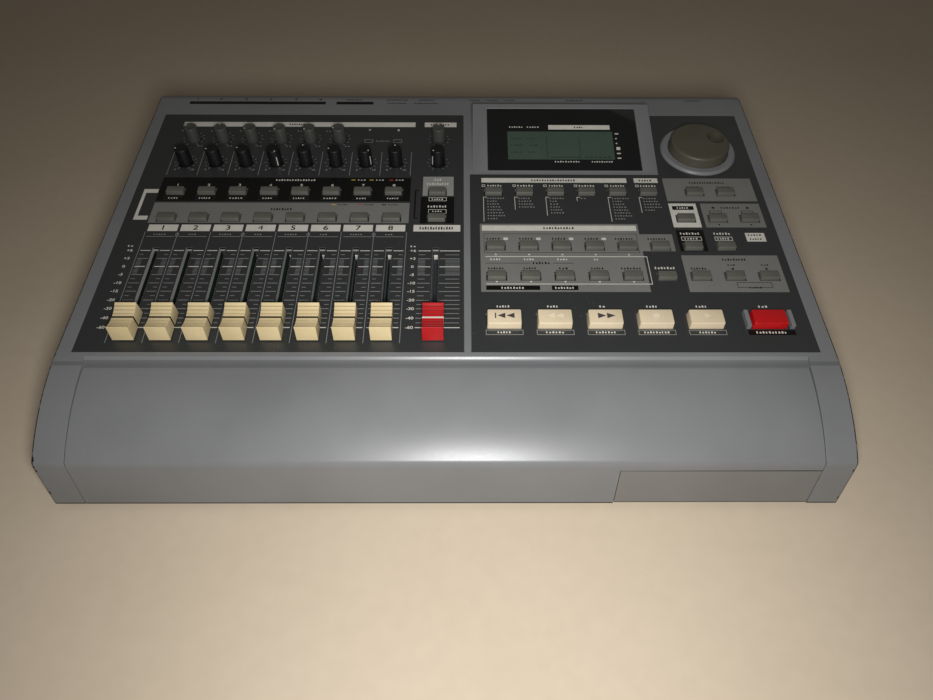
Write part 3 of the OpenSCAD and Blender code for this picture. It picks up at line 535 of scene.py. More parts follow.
def cap(name, look):
    width, depth = look["size"]
    obj = startBox(name, (width, depth, look["top"] - look["low"]), look["low"])
    choose(obj, "FACE", lambda f: f.normal.z > 0.9)
    bpy.ops.transform.resize(value=(1 - 2 * look["draft"] / width, 1 - 2 * look["draft"] / depth, 1))
    soften(obj, lambda e: abs(e.verts[0].co.z - e.verts[1].co.z) > 1, look["corner"], 3)
    soften(obj, lambda e: all(p.co.z > look["top"] - 0.01 for p in e.verts), look["rim"], 3)
    return alone(obj)


pattern = dress(cap("buttonPattern", button), "buttonGrey")
for bank, places in banks.items():
    caps = joined([twin(pattern, bank + "_cap", (x, v, 0)) for x, v in places], bank + "_caps")
    settle(caps, onPanel, bank, "button", [bank])
bpy.data.objects.remove(pattern)
print("buttons set:", sum(len(places) for places in banks.values()))


# transport keys with flat signs: corners, x, v, radius, turn, stretch along v, ink
key = {"size": (20.0, 11.0), "top": 4.2, "low": -3.7, "corner": 0.8, "rim": 0.4, "draft": 0.35}
signs = {
    "zero_key": [(3, -1.0, 0.5, 3.0, 90, 0.74, "signInk"), (3, 4.2, 0.5, 3.1, 90, 0.72, "signInk"),
                 (4, -5.1, 0.5, 0.5, 45, 5.5, "signInk")],
    "rewind_key": [(3, -1.6, 0.5, 2.8, 90, 0.78, "fadedInk"), (3, 3.4, 0.5, 2.8, 90, 0.78, "fadedInk")],
    "forward_key": [(3, -2.9, 0.5, 3.2, -90, 0.72, "signInk"), (3, 2.3, 0.5, 3.2, -90, 0.72, "signInk")],
    "stop_key": [(32, 0, 0.5, 2.0, 0, 0.9, "fadedInk")],
    "play_key": [(3, 0.0, 0.5, 2.5, -90, 0.85, "fadedInk")],
    "record_key": [],
}


def keySign(corners, x, v, radius, turn, tall, ink):
    sign = added(bpy.ops.mesh.primitive_circle_add, vertices=corners, radius=radius, fill_type="NGON",
                 rotation=(0, 0, math.radians(turn)))
    sign.scale.y = tall
    sign.location = (x, v, key["top"] - 0.02)
    bpy.ops.object.transform_apply()
    applied(sign, "SOLIDIFY", thickness=0.05, offset=1.0)
    return dress(sign, ink)


pattern = cap("keyPattern", key)
for name, x in zip(signs, keyX):
    finishName, slotName = ("redAbs", "red") if name == "record_key" else ("creamAbs", "cream")
    parts = [dress(twin(pattern, name + "_cap"), finishName)] + [keySign(*sign) for sign in signs[name]]
    settle(joined(parts, name + "_cap"), spot(x, desk["keyV"]), name, slotName, [name])
bpy.data.objects.remove(pattern)
print("keys set")


# fader caps: hollowed for the finger, grooved across with grime and painted shade in the grooves, a painted
# line over the middle
fader = {"half": 10.0, "width": 12.0, "foot": 1.0, "top": 11.5, "dip": 2.4, "side": 0.14, "nose": 0.45,
         "grooves": (-6.9, -4.7, -2.4, 2.4, 4.7, 6.9), "grooveHalf": 0.28, "grooveDeep": 0.5, "line": 1.1,
         "blade": (1.4, 5.0, 15.6)}


def hollow(v):
    radius = ((fader["half"] - 1) ** 2 + fader["dip"] ** 2) / (2 * fader["dip"])
    return fader["top"] - fader["dip"] + radius - math.sqrt(radius ** 2 - v * v)


def makeFader(shade, grimeAndShade, lineInk):
    half, slit, foot = fader["half"], fader["grooveHalf"], fader["foot"]
    across = [(half - 1) * k / 7 for k in range(-7, 8)]
    surface = [(v, hollow(v)) for v in across if all(abs(v - g) > 0.6 for g in fader["grooves"])]
    for g in fader["grooves"]:
        surface += [(v, hollow(v)) for v in (g - slit, g + slit)] + [(g, hollow(g) - fader["grooveDeep"])]
    body = drawOut("faderPattern", [(-half, foot)] + sorted(surface) + [(half, foot)], fader["width"] / 2)

    def reach(edge):
        return abs(edge.verts[0].co.x - edge.verts[1].co.x)

    def onNose(edge):
        return (sharp(edge, 50) and reach(edge) > 5
                and all(p.co.z > fader["top"] - 0.3 and abs(p.co.y) > half - 1.5 for p in edge.verts))

    def inGroove(face):
        middle = face.calc_center_median()
        return (abs(face.normal.x) < 0.3 and abs(face.normal.y) > 0.55 and abs(middle.y) < 8
                and middle.z < hollow(middle.y) - 0.1)

    soften(body, lambda e: sharp(e, 60) and reach(e) < 0.01, fader["side"], 2)
    soften(body, onNose, fader["nose"], 3)
    dress(body, shade, grimeAndShade)
    # the groove faces take the darker finish: grime and painted shade
    choose(body, "FACE", inGroove)
    recoat(body, 1)
    bandHigh = hollow(0) + 0.14 - foot - 0.2
    bandSize = (fader["width"] + 0.12, fader["line"], bandHigh)
    band = softBox("faderLine", bandSize, foot + 0.2, 0.06, 2, lineInk)
    blade = softBox("faderBlade", fader["blade"], foot + 0.5 - fader["blade"][2], 0.2, 2, "zincSteel")
    return joined([body, band, blade], "faderPattern")


faderRides = [("fader_%d" % k, x) for k, x in enumerate(channels, 1)]
for pattern, slotName, rides in (
        (makeFader("faderAbs", "creamGrimeAndShade", "blackInk"), "cream", faderRides),
        (makeFader("redAbs", "redGrimeAndShade", "whiteInk"), "red", [("master_fader", master)])):
    for name, x in rides:
        settle(twin(pattern, name + "_cap"), spot(x, desk["faderV"]), name, slotName, [name])
    bpy.data.objects.remove(pattern)
print("faders set")


# knobs: tapered caps with a dot on the rim, the pan row also with a line up the side
knob = {"foot": 4.8, "top": 4.3, "skirt": -1.25, "shaft": 3.0, "shaftEnd": -8.6, "steps": 72, "flute": 0.95,
        "panHigh": 12.2, "trimHigh": 10.2, "line": 0.6, "lineLow": 0.8, "lineTop": 0.62, "lineOut": 0.07,
        "lineIn": 0.4, "dot": 0.5, "dotIn": 0.8}
panSet = [-90, -100, -80, 150, -10, -90, 126, 0, -124]
trimSet = [-60, -10, -115, -130, -130, -100, 0]


def makeKnob(high, shade, lined):
    foot, top, skirt, shaft, shaftEnd = (knob[k] for k in ("foot", "top", "skirt", "shaft", "shaftEnd"))

    def side(h):
        return foot + (top - foot) * (h - skirt) / (high - skirt)

    def inFlute(vertex):  # every third column of the side, which leaves two for the rib between
        column = round(math.degrees(math.atan2(vertex.co.y, vertex.co.x)) * knob["steps"] / 360)
        return column % 3 == 1 and skirt + 0.1 < vertex.co.z < high - 0.5 and vertex.co.xy.length > top - 0.5

    body = turnOut("knobPattern", [
        (0, shaftEnd), (shaft - 0.3, shaftEnd), (shaft, shaftEnd + 0.3), (shaft, skirt), (foot - 0.2, skirt),
        (foot, skirt + 0.2), (side(high - 0.7), high - 0.7), (top - 0.12, high - 0.3),
        (top - 0.35, high - 0.08), (top - 0.7, high), (top - 1.1, high - 0.06), (top - 1.6, high - 0.16),
        (0, high - 0.2)], knob["steps"])
    choose(body, "VERT", inFlute)
    bpy.ops.transform.resize(value=(knob["flute"], knob["flute"], 1), center_override=(0, 0, 0))
    dot = added(bpy.ops.mesh.primitive_cylinder_add, vertices=20, radius=knob["dot"], depth=0.5,
                location=(0, top - knob["dotIn"], high - 0.2))
    soften(dot, lambda e: sharp(e, 60), 0.1, 2)
    parts = [dress(body, shade), dress(alone(dot), "whiteInk")]
    if lined:
        low, end = knob["lineLow"], high * knob["lineTop"]
        out, within = knob["lineOut"], knob["lineIn"]
        line = drawOut("knobLine", [(side(low) + out, low), (side(end) + out, end), (side(end) - within, end),
                                    (side(low) - within, low)], knob["line"] / 2)
        soften(line, sharp, 0.05, 1)
        parts.append(dress(alone(line), "whiteInk"))
    return joined(parts, "knobPattern")


panRow = [("pan_knob_%d" % (k + 1), x) for k, x in enumerate(channels)] + [("monitor_knob", master)]
trimRow = [("trim_knob_%d" % (k + 1), x) for k, x in enumerate(channels[:6])] + [("aux_knob", master)]
for pattern, slotName, v, row, turns in (
        (makeKnob(knob["panHigh"], "blackAbs", True), "pan", desk["panV"], panRow, panSet),
        (makeKnob(knob["trimHigh"], "greyAbs", False), "trim", desk["trimV"], trimRow, trimSet)):
    for (name, x), turn in zip(row, turns):
        settle(twin(pattern, name + "_cap"), spot(x, v, -turn), name, slotName, [name])
    bpy.data.objects.remove(pattern)
print("knobs set")


# jog dial: domed disc with a finger dimple
dial = {"radius": 20.5, "high": 9.8, "foot": 0.8, "edge": 2.4, "dome": 0.8, "draft": 0.4, "shaft": 3.0,
        "shaftEnd": -8.6, "dimple": 8.2, "dimpleOut": 11.6, "dimpleUp": 5.1, "dimpleTurn": 16.0}


def makeDial():
    radius, high, foot, edge, dome = (dial[k] for k in ("radius", "high", "foot", "edge", "dome"))
    rim = radius - dial["draft"]
    shoulder = high - dome
    points = [(0, dial["shaftEnd"]), (dial["shaft"], dial["shaftEnd"]), (dial["shaft"], foot),
              (radius - 0.3, foot), (radius, foot + 0.3), (rim, high - edge)]
    for k in range(1, 9):
        a = math.radians(90 * k / 8)
        points.append((rim - edge * (1 - math.cos(a)), shoulder - (edge - dome) * (1 - math.sin(a))))
    points += [((rim - edge) * r, shoulder + dome * (1 - r * r)) for r in (0.85, 0.7, 0.5, 0.3, 0.15, 0)]
    body = turnOut("dial_cap", points, 120)
    turn = math.radians(dial["dimpleTurn"])
    middle = Vector((dial["dimpleOut"] * math.cos(turn), dial["dimpleOut"] * math.sin(turn),
                     high + dial["dimpleUp"]))
    ball = added(bpy.ops.mesh.primitive_uv_sphere_add, segments=96, ring_count=64, radius=dial["dimple"],
                 location=middle)
    applied(body, "BOOLEAN", operation="DIFFERENCE", object=ball, solver="EXACT")
    bpy.data.objects.remove(ball)
    dress(body, "dialGrey", "dialWorn")
    choose(body, "FACE", lambda f: f.normal.z > 0.1
           and all(abs((p.co - middle).length - dial["dimple"]) < 0.03 for p in f.verts[:2]))
    recoat(body, 1)
    return alone(body)


settle(makeDial(), spot(*desk["dial"]), "jog_dial", "dial", ["jog_dial"], angle=24)
print("dial set")


# display window and its glass
window = {"x": 78.75, "low": 3.0, "size": (105.5, 56.0, 1.4), "edge": 0.35,
          "glass": (40.0, 113.8, 12.3, 37.5), "bar": (69.1, 112.5, 39.4, 43.5)}
pane = dress(startBox("window_pane", window["size"], -window["size"][2]), "windowAcrylic")
soften(pane, lambda e: all(p.co.z > -0.01 for p in e.verts), window["edge"], 2)
settle(pane, spot(window["x"], window["low"] + window["size"][1] / 2, place=onHump), base, "window",
       ["display_window"])


# printed artwork: flat rectangles, figures and arrows of ink, gathered by sheet and pressed together
artwork = {}


def sheetOf(sheet):
    return artwork.setdefault(sheet, {"stamps": [], "figures": [], "arrows": []})


def stamp(sheet, *marks):  # each from x to x, from v to v
    for x0, x1, v0, v1 in marks:
        sheetOf(sheet)["stamps"].append(((x0 + x1) / 2, (v0 + v1) / 2, abs(x1 - x0), abs(v1 - v0), 0.0))


def outline(sheet, thick, *marks):  # frames, each from x to x, from v to v
    for x0, x1, v0, v1 in marks:
        stamp(sheet, (x0, x1, v0, v0 + thick), (x0, x1, v1 - thick, v1),
              (x0, x0 + thick, v0 + thick, v1 - thick), (x1 - thick, x1, v0 + thick, v1 - thick))


def word(sheet, *marks):  # broken dashes where the panel carries small print: x, v, length, height
    for x, v, length, tall in marks:
        count = max(2, round(length / 1.75))
        step = length / count
        for k in range(count):
            left = x - length / 2 + k * step
            right = left + step * (0.58 if k * 5 % 3 else 0.45)
            low = tall * (0, 0.24, 0, 0.12)[k % 4]
            stamp(sheet, (left, right, v - tall * 0.45, v + tall * 0.45 - low))


def figure(sheet, tall, *marks):  # text, x, v
    sheetOf(sheet)["figures"] += [(text, x, v, tall) for text, x, v in marks]


def arrow(sheet, radius, *marks):  # x, v, turn
    sheetOf(sheet)["arrows"] += [(x, v, radius, turn) for x, v, turn in marks]


def ring(sheet, x, v, inner=6.5, outer=7.6, thick=0.32):  # scale marks round a knob
    middle = (inner + outer) / 2
    for turn in range(-150, 151, 30):
        a = math.radians(90 - turn)
        length = (outer - inner) * (1.5 if turn in (-150, 0, 150) else 1.0)
        place = (x + middle * math.cos(a), v + middle * math.sin(a))
        sheetOf(sheet)["stamps"].append((*place, length, thick, a))


scale = [75.95, 69.25, 62.55, 55.95, 49.25, 42.75, 35.95, 29.45, 22.45, 15.55]
scaleFigures = ["+6", "+3", "0", "-5", "-10", "-15", "-20", "-30", "-40", "-60"]
majors = (75.95, 62.55, 15.55)


def faderScale(x):
    spans = ((3.0, 10.6), (2.6, 15.0)) if x == master else ((2.9, 9.1), (2.9, 9.1))
    fine = [69.25 - 1.11 * k for k in range(1, 12)]
    halves = [72.6] + [(a + b) / 2 for a, b in zip(scale[3:], scale[4:])]
    for side, (start, end) in zip((-1, 1), spans):
        for v in scale:
            ink, thick = ("marks_white", 0.25) if v in majors else ("marks_pale", 0.17)
            stamp(ink, (x + side * start, x + side * end, v - thick, v + thick))
        stamp("marks_mist", *((x + side * 6.2, x + side * end, v - 0.13, v + 0.13) for v in fine))
        stamp("marks_pale", *((x + side * 6.2, x + side * (end - 0.3), v - 0.14, v + 0.14) for v in halves))


def mixerArt():
    half, panV, trimV = pitch / 2, desk["panV"], desk["trimV"]
    for x in [channels[0] - half + pitch * k for k in range(9)]:
        stamp("marks_mist", (x - 0.18, x + 0.18, 4.5, 92.4), (x - 0.18, x + 0.18, 146.4, 171.3))
    for x, ink in ((-65, "marks_yellow"), (-52.8, "marks_yellow"), (-39.5, "marks_red")):
        stamp(ink, (x - 1.3, x + 1.3, 141.3, 142.1))
        word("marks_white", (x + 6.0, 141.7, 6, 1.0))
    for x, ink in ((-75.8, "marks_yellow"), (-58.8, "marks_red"), (-43, "marks_dark")):
        stamp(ink, (x - 1.3, x + 1.3, 117.1, 117.9))
        word("marks_dark", (x + 6.5, 117.5, 7, 1.0))
    for k, x in enumerate(channels):
        number = str(k + 1)
        figure("marks_white", 2.3, (number, x, 136.3))
        outline("marks_mist", 0.3, (x - 6.5, x + 6.5, 122.2, 125.0))
        word("marks_white", (x, 123.6, 7 + k % 3, 1.2))
        stamp("bars_white", (x - 9.35, x + 9.35, 92.95, 98.75))
        figure("marks_dark", 4.0, (number, x, 95.85))
        word("marks_pale", (x - 0.5, 90.1, 5 if k % 2 else 8, 1.0))
        if k % 2 == 0:
            stamp("marks_pale", (x - 8.6, x + half - 1.4, 88.0, 88.3),
                  (x + half + 1.4, x + pitch + 8.6, 88.0, 88.3))
            outline("marks_pale", 0.3, (x + half - 1.0, x + half + 1.0, 88.4, 91.0))
        ring("marks_pale", x, panV)
        figure("marks_pale", 1.5, ("0", x - 5.8, panV - 7.6), ("10", x + 5.8, panV - 7.6))
        if k < 6:
            ring("marks_pale", x, trimV)
            word("marks_pale", (x - 8.4, trimV + 9.0, 4, 0.9), (x + 6.5, trimV - 8.0, 4, 0.9))
        else:
            figure("marks_white", 2.0, (number, x, 195.4))
            outline("marks_mist", 0.35, (x - 3.0, x + 3.0, 181.4, 185.0))
        faderScale(x)
    faderScale(master)
    ring("marks_mist", master, panV)
    ring("marks_mist", master, trimV)
    for v, text in zip(scale, scaleFigures):
        figure("marks_white", 2.0, (text, -197.4, v), (text, -22.2, v))
    stamp("bars_white", (-192.5, -25.5, 199.3, 204.5), (-18.8, 4.2, 199.3, 204.5), (-22.8, 7.0, 92.95, 98.75))
    stamp("bars_white", (-202.8, -193.3, 128.6, 132.2), (-202.8, -200.8, 106.8, 128.6),
          (-202.8, -194.0, 103.2, 106.8))  # bracket at the left edge
    stamp("plates_grey", (-192.8, -26.2, 100.45, 119.25))
    stamp("plates_pale", (-18.0, 2.5, 126.25, 145.25))
    stamp("plates_black", (-192.8, -26.2, 120.75, 144.05), (-19.0, 3.0, 100.25, 125.0),
          (-23.2, -22.2, 104.5, 132.0), (-22.2, -20.6, 104.5, 105.5), (-22.2, -20.6, 131.0, 132.0))
    outline("marks_white", 0.3, (-13.8, -2.0, 121.2, 124.6), (-13.8, -2.0, 109.6, 113.2))
    word("marks_mist", (-47.7, 183.2, 10, 1.2))
    word("marks_white", (-103.5, 141.5, 27, 1.7), (-197.5, 79.8, 4, 1.3), (-22.0, 79.8, 4, 1.3),
         (-7.8, 142.2, 5, 2.2), (-7.8, 138.0, 15, 2.2), (-7.8, 122.9, 8, 1.4), (-7.8, 116.0, 13, 2.0),
         (-7.8, 111.4, 7, 1.2))
    word("marks_dark", (-109, 201.9, 15, 2.0), (-7.5, 201.9, 14, 1.8), (-109, 113.2, 14, 2.2),
         (-7.9, 95.85, 22, 2.8))


def editorArt():
    lists = [(8, 12), (4, 11), (6, 10), (1, 7), (8, 12), (5, 12)]  # lines under a button and the longest one
    for k, ((lines, longest), x) in enumerate(zip(lists, columns)):
        outline("marks_white", 0.35, (x - 7.6, x - 5.4, 135.4, 137.4))
        word("marks_white", (x + 1.2, 136.4, 10 + k % 2, 1.7))
        stamp("marks_white", (x - 6.9, x - 6.55, 124.2 - 2.75 * lines, 125.4),
              (x - 6.55, x - 4.6, 124.9, 125.25))
        for n in range(lines):
            length = longest - (n * 5 + k * 3) % 6
            word("marks_pale", (x - 4.2 + length / 2, 124.0 - 2.75 * n, length, 1.0))
        word("marks_dark", (x - 1.0, 86.6, 9 if k < 4 else 12, 1.6))  # locator field
        if k < 4:
            stamp("marks_white", (x + 5.2, x + 8.0, 85.6, 87.6))
            word("marks_white", (x, 68.9, 7 if k < 3 else 3, 1.5))
        if k < 5:
            arrow("marks_white", 0.9, (x, 72.9, 0), (x, 50.6, 180))
            word("marks_dark", (x, 61.4, (10, 8, 6, 8, 13)[k], 1.7))
    for k, x in enumerate(keyX):  # transport
        word("marks_white", (x, 31.3, (8, 7, 4, 7, 7, 6)[k], 1.6))
        if k < 5:
            outline("marks_pale", 0.32, (x - 10.65, x + 10.65, 10.45, 14.05))
            word("marks_white", (x, 12.25, (8, 11, 12, 15, 10)[k], 1.4))
    for x, turn in zip(columns[7:], (90, -90)):  # right-hand fields
        outline("marks_dark", 0.35, (x - 4.0, x + 4.0, 109.8, 112.4))
        arrow("marks_dark", 0.9, (x, 99.6, 180))
        arrow("marks_dark", 1.2, (x, 61.2, turn))
        word("marks_dark", (x, 64.4, 5, 1.3), (x - pitch / 2, 135.4, 9, 1.3))
    arrow("marks_dark", 1.5, (172.5, 115.2, 90), (195.0, 115.2, -90))
    stamp("plates_grey", (19.5, 120.5, 42.55, 99.95), (120.5, 141.2, 75.95, 90.75),
          (143.7, 203.3, 121.55, 144.05), (164.5, 203.3, 97.05, 119.25), (143.7, 203.3, 42.55, 72.45))
    stamp("plates_white", (143.7, 161.7, 97.05, 119.25))
    stamp("plates_black", (144.2, 161.7, 75.95, 94.55))
    stamp("bars_white", (21.2, 119.2, 139.55, 144.05), (124.2, 140.3, 139.55, 144.05),
          (20.8, 119.2, 93.75, 98.45), (187.8, 200.0, 84.55, 92.05))
    stamp("bars_black", (22.5, 54.7, 44.0, 47.5), (61.7, 77.5, 44.0, 47.5), (145.6, 159.6, 113.2, 116.8),
          (171.3, 198.3, 10.45, 14.05))
    stamp("marks_white", (22.5, 122.5, 71.0, 71.5), (122.1, 122.5, 48.9, 71.0), (22.5, 122.5, 48.5, 49.0))
    stamp("marks_dark", (22.5, 50.0, 65.5, 65.8), (64.0, 76.5, 65.5, 65.8))
    outline("marks_dark", 0.25, (21.8, 118.5, 74.6, 91.0))
    outline("marks_dark", 0.3, (columns[7] - 0.2, columns[8] + 0.2, 46.0, 50.2))
    outline("marks_white", 0.35, (146.6, 159.4, 85.2, 88.6), (columns[7] - 5.6, columns[7] + 5.6, 85.2, 88.6))
    word("marks_white", (38.6, 45.7, 14, 1.6), (69.6, 45.7, 12, 1.6), (132.2, 61.8, 13, 1.9),
         (152.6, 115.0, 8, 1.6), (153, 91.4, 13, 1.9), (153, 86.9, 9, 1.4), (columns[7], 91.4, 11, 1.9),
         (columns[7], 86.9, 8, 1.4), (184.8, 12.25, 18, 1.7))
    word("marks_dark", (70, 141.8, 30, 1.9), (132.2, 141.8, 9, 1.9), (70, 96.1, 20, 2.0), (57, 65.8, 11, 1.9),
         (173.4, 139.6, 24, 1.8), (184, 115.2, 13, 1.6), (193.9, 90.2, 9, 1.5), (193.9, 86.6, 8, 1.5),
         (176, 68.9, 15, 1.9), (columns[6], 61.4, 10, 1.7), (184, 46.0, 8, 1.4))


def rearArt():  # dark legends on the bare strip behind the panels
    stamp("strip_dark", (-194.2, -93.3, 226.0, 229.3), (-85.3, -57.8, 226.0, 229.3))
    for k, x in enumerate((-189, -171.7, -153, -134.7, -115.8, -97.5), 1):
        figure("strip_dark", 2.4, (str(k), x, 232.0))
    for x, length in ((-72, 12), (-40, 16), (-18, 12), (18, 8), (31, 10), (44, 8), (93, 13), (181.7, 12)):
        word("strip_dark", (x, 231.6, length, 1.5))
    word("strip_dark", (-72, 227.6, 9, 1.5), (-40, 227.6, 14, 1.5), (-18, 227.6, 18, 1.5))


def windowArt():
    x0, x1, w0, w1 = window["glass"]
    stamp("window_glass", window["glass"])
    for x in (x0 + (x1 - x0) * share for share in (0.37, 0.68)):
        stamp("window_dark", (x - 0.2, x + 0.2, w0 + 0.8, w1 - 5.5))
    for k, (length, gap) in enumerate(((8, 4), (9, 5), (8, 4))):
        w = w1 - 6.4 - 6.2 * k
        word("window_dark", (x0 + 2 + length / 2, w, length, 1.3), (x0 + 4.5 + length + gap, w, 5, 1.3))
    for start, count, step, length in ((29.5, 8, 2.6, 1.9), (53.0, 6, 3.2, 2.2)):
        for x in (x0 + start + step * k for k in range(count)):
            stamp("window_dark", (x, x + length, w0 + 1.6, w0 + 2.4))
    stamp("window_white", window["bar"])
    word("window_ink", (90.8, 41.4, 7, 1.5))
    word("window_white", (46.5, 41.6, 10, 1.2), (58.5, 41.6, 9, 1.2), (81.0, 10.4, 18, 1.2),
         (105.0, 10.4, 15, 1.2))
    for k, w in enumerate((35.6, 31.2, 26.8, 22.2, 17.8, 13.6)):
        tall = 2.6 if k == 3 else 1.0
        stamp("window_white", (115.6, 116.6 if k in (1, 2) else 118.2, w - tall / 2, w + tall / 2))


def makeHoles():  # what the buttons and keys need clear in the printed plates
    sizes = [(x, v, button["size"]) for places in banks.values() for x, v in places]
    sizes += [(x, desk["keyV"], key["size"]) for x in keyX]
    holes = []
    for x, v, (width, depth) in sizes:
        alone()
        bpy.ops.mesh.primitive_cube_add(size=1, location=(x, v, 0), scale=(width + 1.3, depth + 1.3, 2))
        holes.append(bpy.context.object)
    return joined(holes, "holeCutter")


def press(sheet, finishName, layer, place, cutter=None):
    art = artwork[sheet]
    obj = added(bpy.ops.mesh.primitive_plane_add, size=1)
    obj.name = sheet
    bpy.ops.object.mode_set(mode="EDIT")
    bpy.ops.mesh.delete(type="VERT")
    for x, v, w, d, turn in art["stamps"]:
        bpy.ops.mesh.primitive_plane_add(size=1, location=(x, v, 0))
        bpy.ops.transform.resize(value=(w, d, 1), center_override=(x, v, 0))
        if turn:
            bpy.ops.transform.rotate(value=-turn, orient_axis="Z", center_override=(x, v, 0))
    for x, v, radius, turn in art["arrows"]:
        bpy.ops.mesh.primitive_circle_add(vertices=3, radius=radius, fill_type="NGON", location=(x, v, 0),
                                          rotation=(0, 0, math.radians(turn)))
    parts = [alone(obj)]
    for text, x, v, tall in art["figures"]:
        bpy.ops.object.text_add(location=(x, v, 0))
        letters = bpy.context.object.data
        letters.body = text
        letters.size = tall / 0.72
        letters.align_x = "CENTER"
        letters.align_y = "CENTER"
        letters.resolution_u = 3
        letters.offset = 0 if text == "4" else tall * 0.022  # a bolder stroke, which would close a 4
        bpy.ops.object.convert(target="MESH")
        parts.append(bpy.context.object)
        parts[-1].scale.x = 1.25
        bpy.ops.object.transform_apply()
    joined(parts, sheet)
    applied(obj, "SOLIDIFY", thickness=0.025 * layer, offset=1.0)
    if cutter:
        applied(obj, "BOOLEAN", operation="DIFFERENCE", object=cutter, solver="EXACT")
    settle(dress(obj, finishName), place, base)


for draw in (mixerArt, editorArt, rearArt, windowArt):
    draw()
holes = makeHoles()
for sheet, ink in (("grey", "plateInk"), ("black", "blackInk"), ("white", "whiteInk"), ("pale", "paleInk")):
    press("plates_" + sheet, ink, 1, onPanel, holes)
bpy.data.objects.remove(holes)
for sheet, ink, layer, place in (
        ("bars_white", "whiteInk", 2, onPanel), ("bars_black", "blackInk", 2, onPanel),
        ("marks_mist", "mistInk", 1, onPanel), ("marks_pale", "paleInk", 2, onPanel),
        ("marks_white", "whiteInk", 3, onPanel), ("marks_dark", "blackInk", 3, onPanel),
        ("marks_yellow", "yellowInk", 3, onPanel), ("marks_red", "redInk", 3, onPanel),
        ("strip_dark", "blackInk", 1, onPanel), ("window_glass", "crystalGlass", 1, onHump),
        ("window_dark", "crystalDark", 2, onHump), ("window_white", "whiteInk", 1, onHump),
        ("window_ink", "blackInk", 2, onHump)):
    press(sheet, ink, layer, place)
print("artwork pressed:", sum(len(a["stamps"]) + len(a["figures"]) for a in artwork.values()), "marks")


# rear sockets: plated nuts and pins, insulators, contacts and the rocker's signs
rear = {"high": 42.0, "inputs": [-189 + 18.3 * k for k in range(6)], "pair": (-9.5, 10.0),
        "phonos": [-76.5 + 16 * k for k in range(4)], "phonoRow": 9.0, "phonoEnd": 12.4,
        "dins": (18.5, 44.5), "bus": 93.5, "inlet": 149.5, "switch": 182.5}


def behind(co):  # a point as the rear plate sees it: x across from behind, y up, z out
    return onRear.inverted() @ co * 1000


def behindSpot(x):
    return onRear @ Matrix.Translation((-x / 1000, rear["high"] / 1000, 0))


def jackSleeve(face):
    points = [behind(p.co) for p in face.verts]
    pairX, pairUp = rear["pair"]
    jacks = [(x, rear["high"]) for x in rear["inputs"]]
    jacks += [(pairX, rear["high"] + side * pairUp) for side in (-1, 1)]
    off = max(min(math.hypot(-q.x - x, q.y - z) for x, z in jacks) for q in points)
    return min(q.z for q in points) > -0.05 and off > 3.5


def inletPin(face):
    across = -behind(face.calc_center_median()).x - rear["inlet"]
    return (any(abs(across - x) < 1.2 for x in (-7, 0, 7))
            and all(behind(p.co).z < -4.9 and abs(behind(p.co).y - 42.3) < 4.6 for p in face.verts))


for node, name, plated, out, width in (("phone_jacks", "jack_bodies", jackSleeve, 0.5, 0.0003),
                                       ("power_inlet", "inlet_body", inletPin, 1.9, 0.0005)):
    socket = dress(fromNode(node, name), "blackAbs", "nickel")
    choose(socket, "FACE", plated)
    recoat(socket, 1)
    soften(socket, lambda e: sharp(e, 40) and all(behind(p.co).z > out for p in e.verts), width, 2)
    keepNode(socket, node)

end = rear["phonoEnd"]
for side, name, nylon in ((1, "phono_rings_upper", "whiteNylon"), (-1, "phono_rings_lower", "redNylon")):
    washer = turnOut("insulator", [
        (1.65, end - 0.1), (1.65, end + 0.15), (1.85, end + 0.25), (3.0, end + 0.25), (3.2, end + 0.15),
        (3.2, end - 0.1), (1.65, end - 0.1)], 36)
    z = rear["high"] + side * rear["phonoRow"]
    rings = joined([twin(washer, name, (-x, z, 0)) for x in rear["phonos"]], name)
    settle(dress(rings, nylon), onRear, base)
    bpy.data.objects.remove(washer)

for k, x in enumerate(rear["dins"], 1):
    core = turnOut("din_core", [(0, -8.95), (5.5, -8.95), (5.5, -1.5), (5.2, -1.2), (0, -1.2)], 40)
    parts = [dress(core, "coatedSteel")]
    for turn in range(180, 361, 45):
        pin = turnOut("din_pin", [(0, -1.4), (0.8, -1.4), (0.8, -1.05), (0.55, -1.0), (0.5, -1.15),
                                  (0, -1.15)], 16)
        pin.location = (3.75 * math.cos(math.radians(turn)), 3.75 * math.sin(math.radians(turn)), 0)
        parts.append(dress(pin, "nickel"))
    settle(joined(parts, "din_core_%d" % k), behindSpot(x), base)

tongue = softBox("bus_tongue", (34.0, 4.6, 1.0), 6.2, 0.3, 2, "blackAbs")
contact = softBox("bus_contact", (0.9, 1.3, 0.3), 7.1, 0.08, 1, "goldPlate")
contacts = [twin(contact, "bus_contact", ((k - 8) * 1.9, side * 1.25, 0))
            for k in range(17) for side in (-1, 1)]
bpy.data.objects.remove(contact)
settle(joined([tongue] + contacts, "bus_tongue"), behindSpot(rear["bus"]), base)

rocker = (Matrix.Translation((rear["switch"] / 1000, rearFace, rear["high"] / 1000))
          @ Matrix.Rotation(math.radians(8), 4, "X"))
line = softBox("rocker_on", (0.8, 4.4, 0.08), -0.03, 0.02, 1, "whiteInk")
loop = turnOut("rocker_off", [(1.5, -0.03), (2.2, -0.03), (2.2, 0.05), (1.5, 0.05), (1.5, -0.03)], 32)
for sign, up, turn in ((line, 0.0046, -104.6), (dress(loop, "whiteInk"), -0.0046, -75.4)):
    place = Matrix.Translation((0, 0.0038, up)) @ Matrix.Rotation(math.radians(turn), 4, "X")
    settle(sign, rocker @ place, "power_switch")


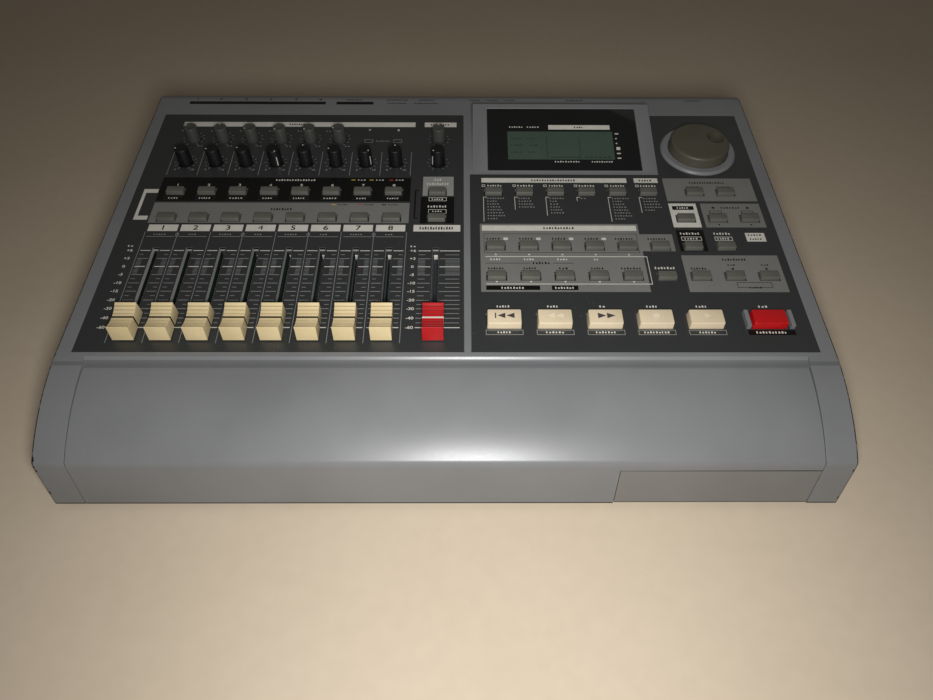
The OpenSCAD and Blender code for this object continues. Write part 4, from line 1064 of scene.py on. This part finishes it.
def plateArt():  # pale legends on the rear plate, as seen from behind
    for k, x in enumerate(rear["inputs"], 1):
        figure("rear_pale", 3.0, (str(k), -x, rear["high"] + 11.5))
        word("rear_pale", (-x, rear["high"] - 11.0, 8, 1.2))
    stamp("rear_pale", (91.5, 196.0, 57.4, 58.2))
    word("rear_pale", (143.7, 60.6, 24, 1.6), (9.5, 62.3, 12, 1.2), (9.5, 21.8, 12, 1.2))
    word("rear_pale", *((-x, 60.6, 9, 1.2) for x in rear["phonos"]))
    for x, length in ((18.5, 7), (44.5, 9), (rear["bus"], 18), (rear["inlet"], 14), (rear["switch"], 8)):
        word("rear_pale", (-x, 58.2, length, 1.4))


plateArt()
press("rear_pale", "paleInk", 1, onRear)

for finishName, plain in {
        "overlayFilm": ["control_panels"], "crystalGlass": ["display_module"], "goldPlate": ["phono_sockets"],
        "coatedSteel": ["bottom_tray", "rear_plate", "fader_tracks", "knob_pots", "dial_encoder",
                        "power_supply"],
        "zincSteel": ["bus_socket", "hard_drive", "case_screws"], "blackAbs": ["din_sockets", "power_switch"],
        "boardEpoxy": ["main_board"], "boardInShade": ["panel_board"], "rubber": ["feet"]}.items():
    for node in plain:
        nodes[node].material_slots[0].material = mats[finishName]
print("rear and inside finished")


# stage and light: each lamp has a place, an aim, a size, a power and a spread
stage = {"floor": 40.0, "sky": "#e2d8cb", "skyLevel": 0.092,
         "lamps": {"key": ((0.02, -0.4, 0.342), (0.035, -0.09, 0.05), (0.09, 0.09), 1.36, 140),
                   "fill": ((0.8, 1.1, 0.7), (0.0, 0.1, 0.05), (0.8, 0.8), 0.15, 180),
                   "back": ((0.0, 0.8, 0.025), (0.0, 0.15, 0.045), (0.5, 0.02), 0.03, 6)}}
floor = dress(added(bpy.ops.mesh.primitive_plane_add, size=stage["floor"]), "floorGlaze")
floor.name = "floor"
for name, (place, aim, size, power, spread) in stage["lamps"].items():
    bpy.ops.object.light_add(type="AREA", location=place)
    lamp = bpy.context.object
    lamp.name = name + "Lamp"
    lamp.data.shape = "ELLIPSE"
    lamp.data.size, lamp.data.size_y = size
    lamp.data.energy = power
    lamp.data.spread = math.radians(spread)
    lamp.rotation_euler = (Vector(aim) - Vector(place)).to_track_quat("-Z", "Y").to_euler()
world = bpy.data.worlds.new("studio")
bpy.context.scene.world = world
world.use_nodes = True
sky = world.node_tree.nodes["Background"]
sky.inputs["Color"].default_value = srgb(stage["sky"])
sky.inputs["Strength"].default_value = stage["skyLevel"]
bpy.context.scene.view_settings.view_transform = "Standard"
print("stage lit")

alone()
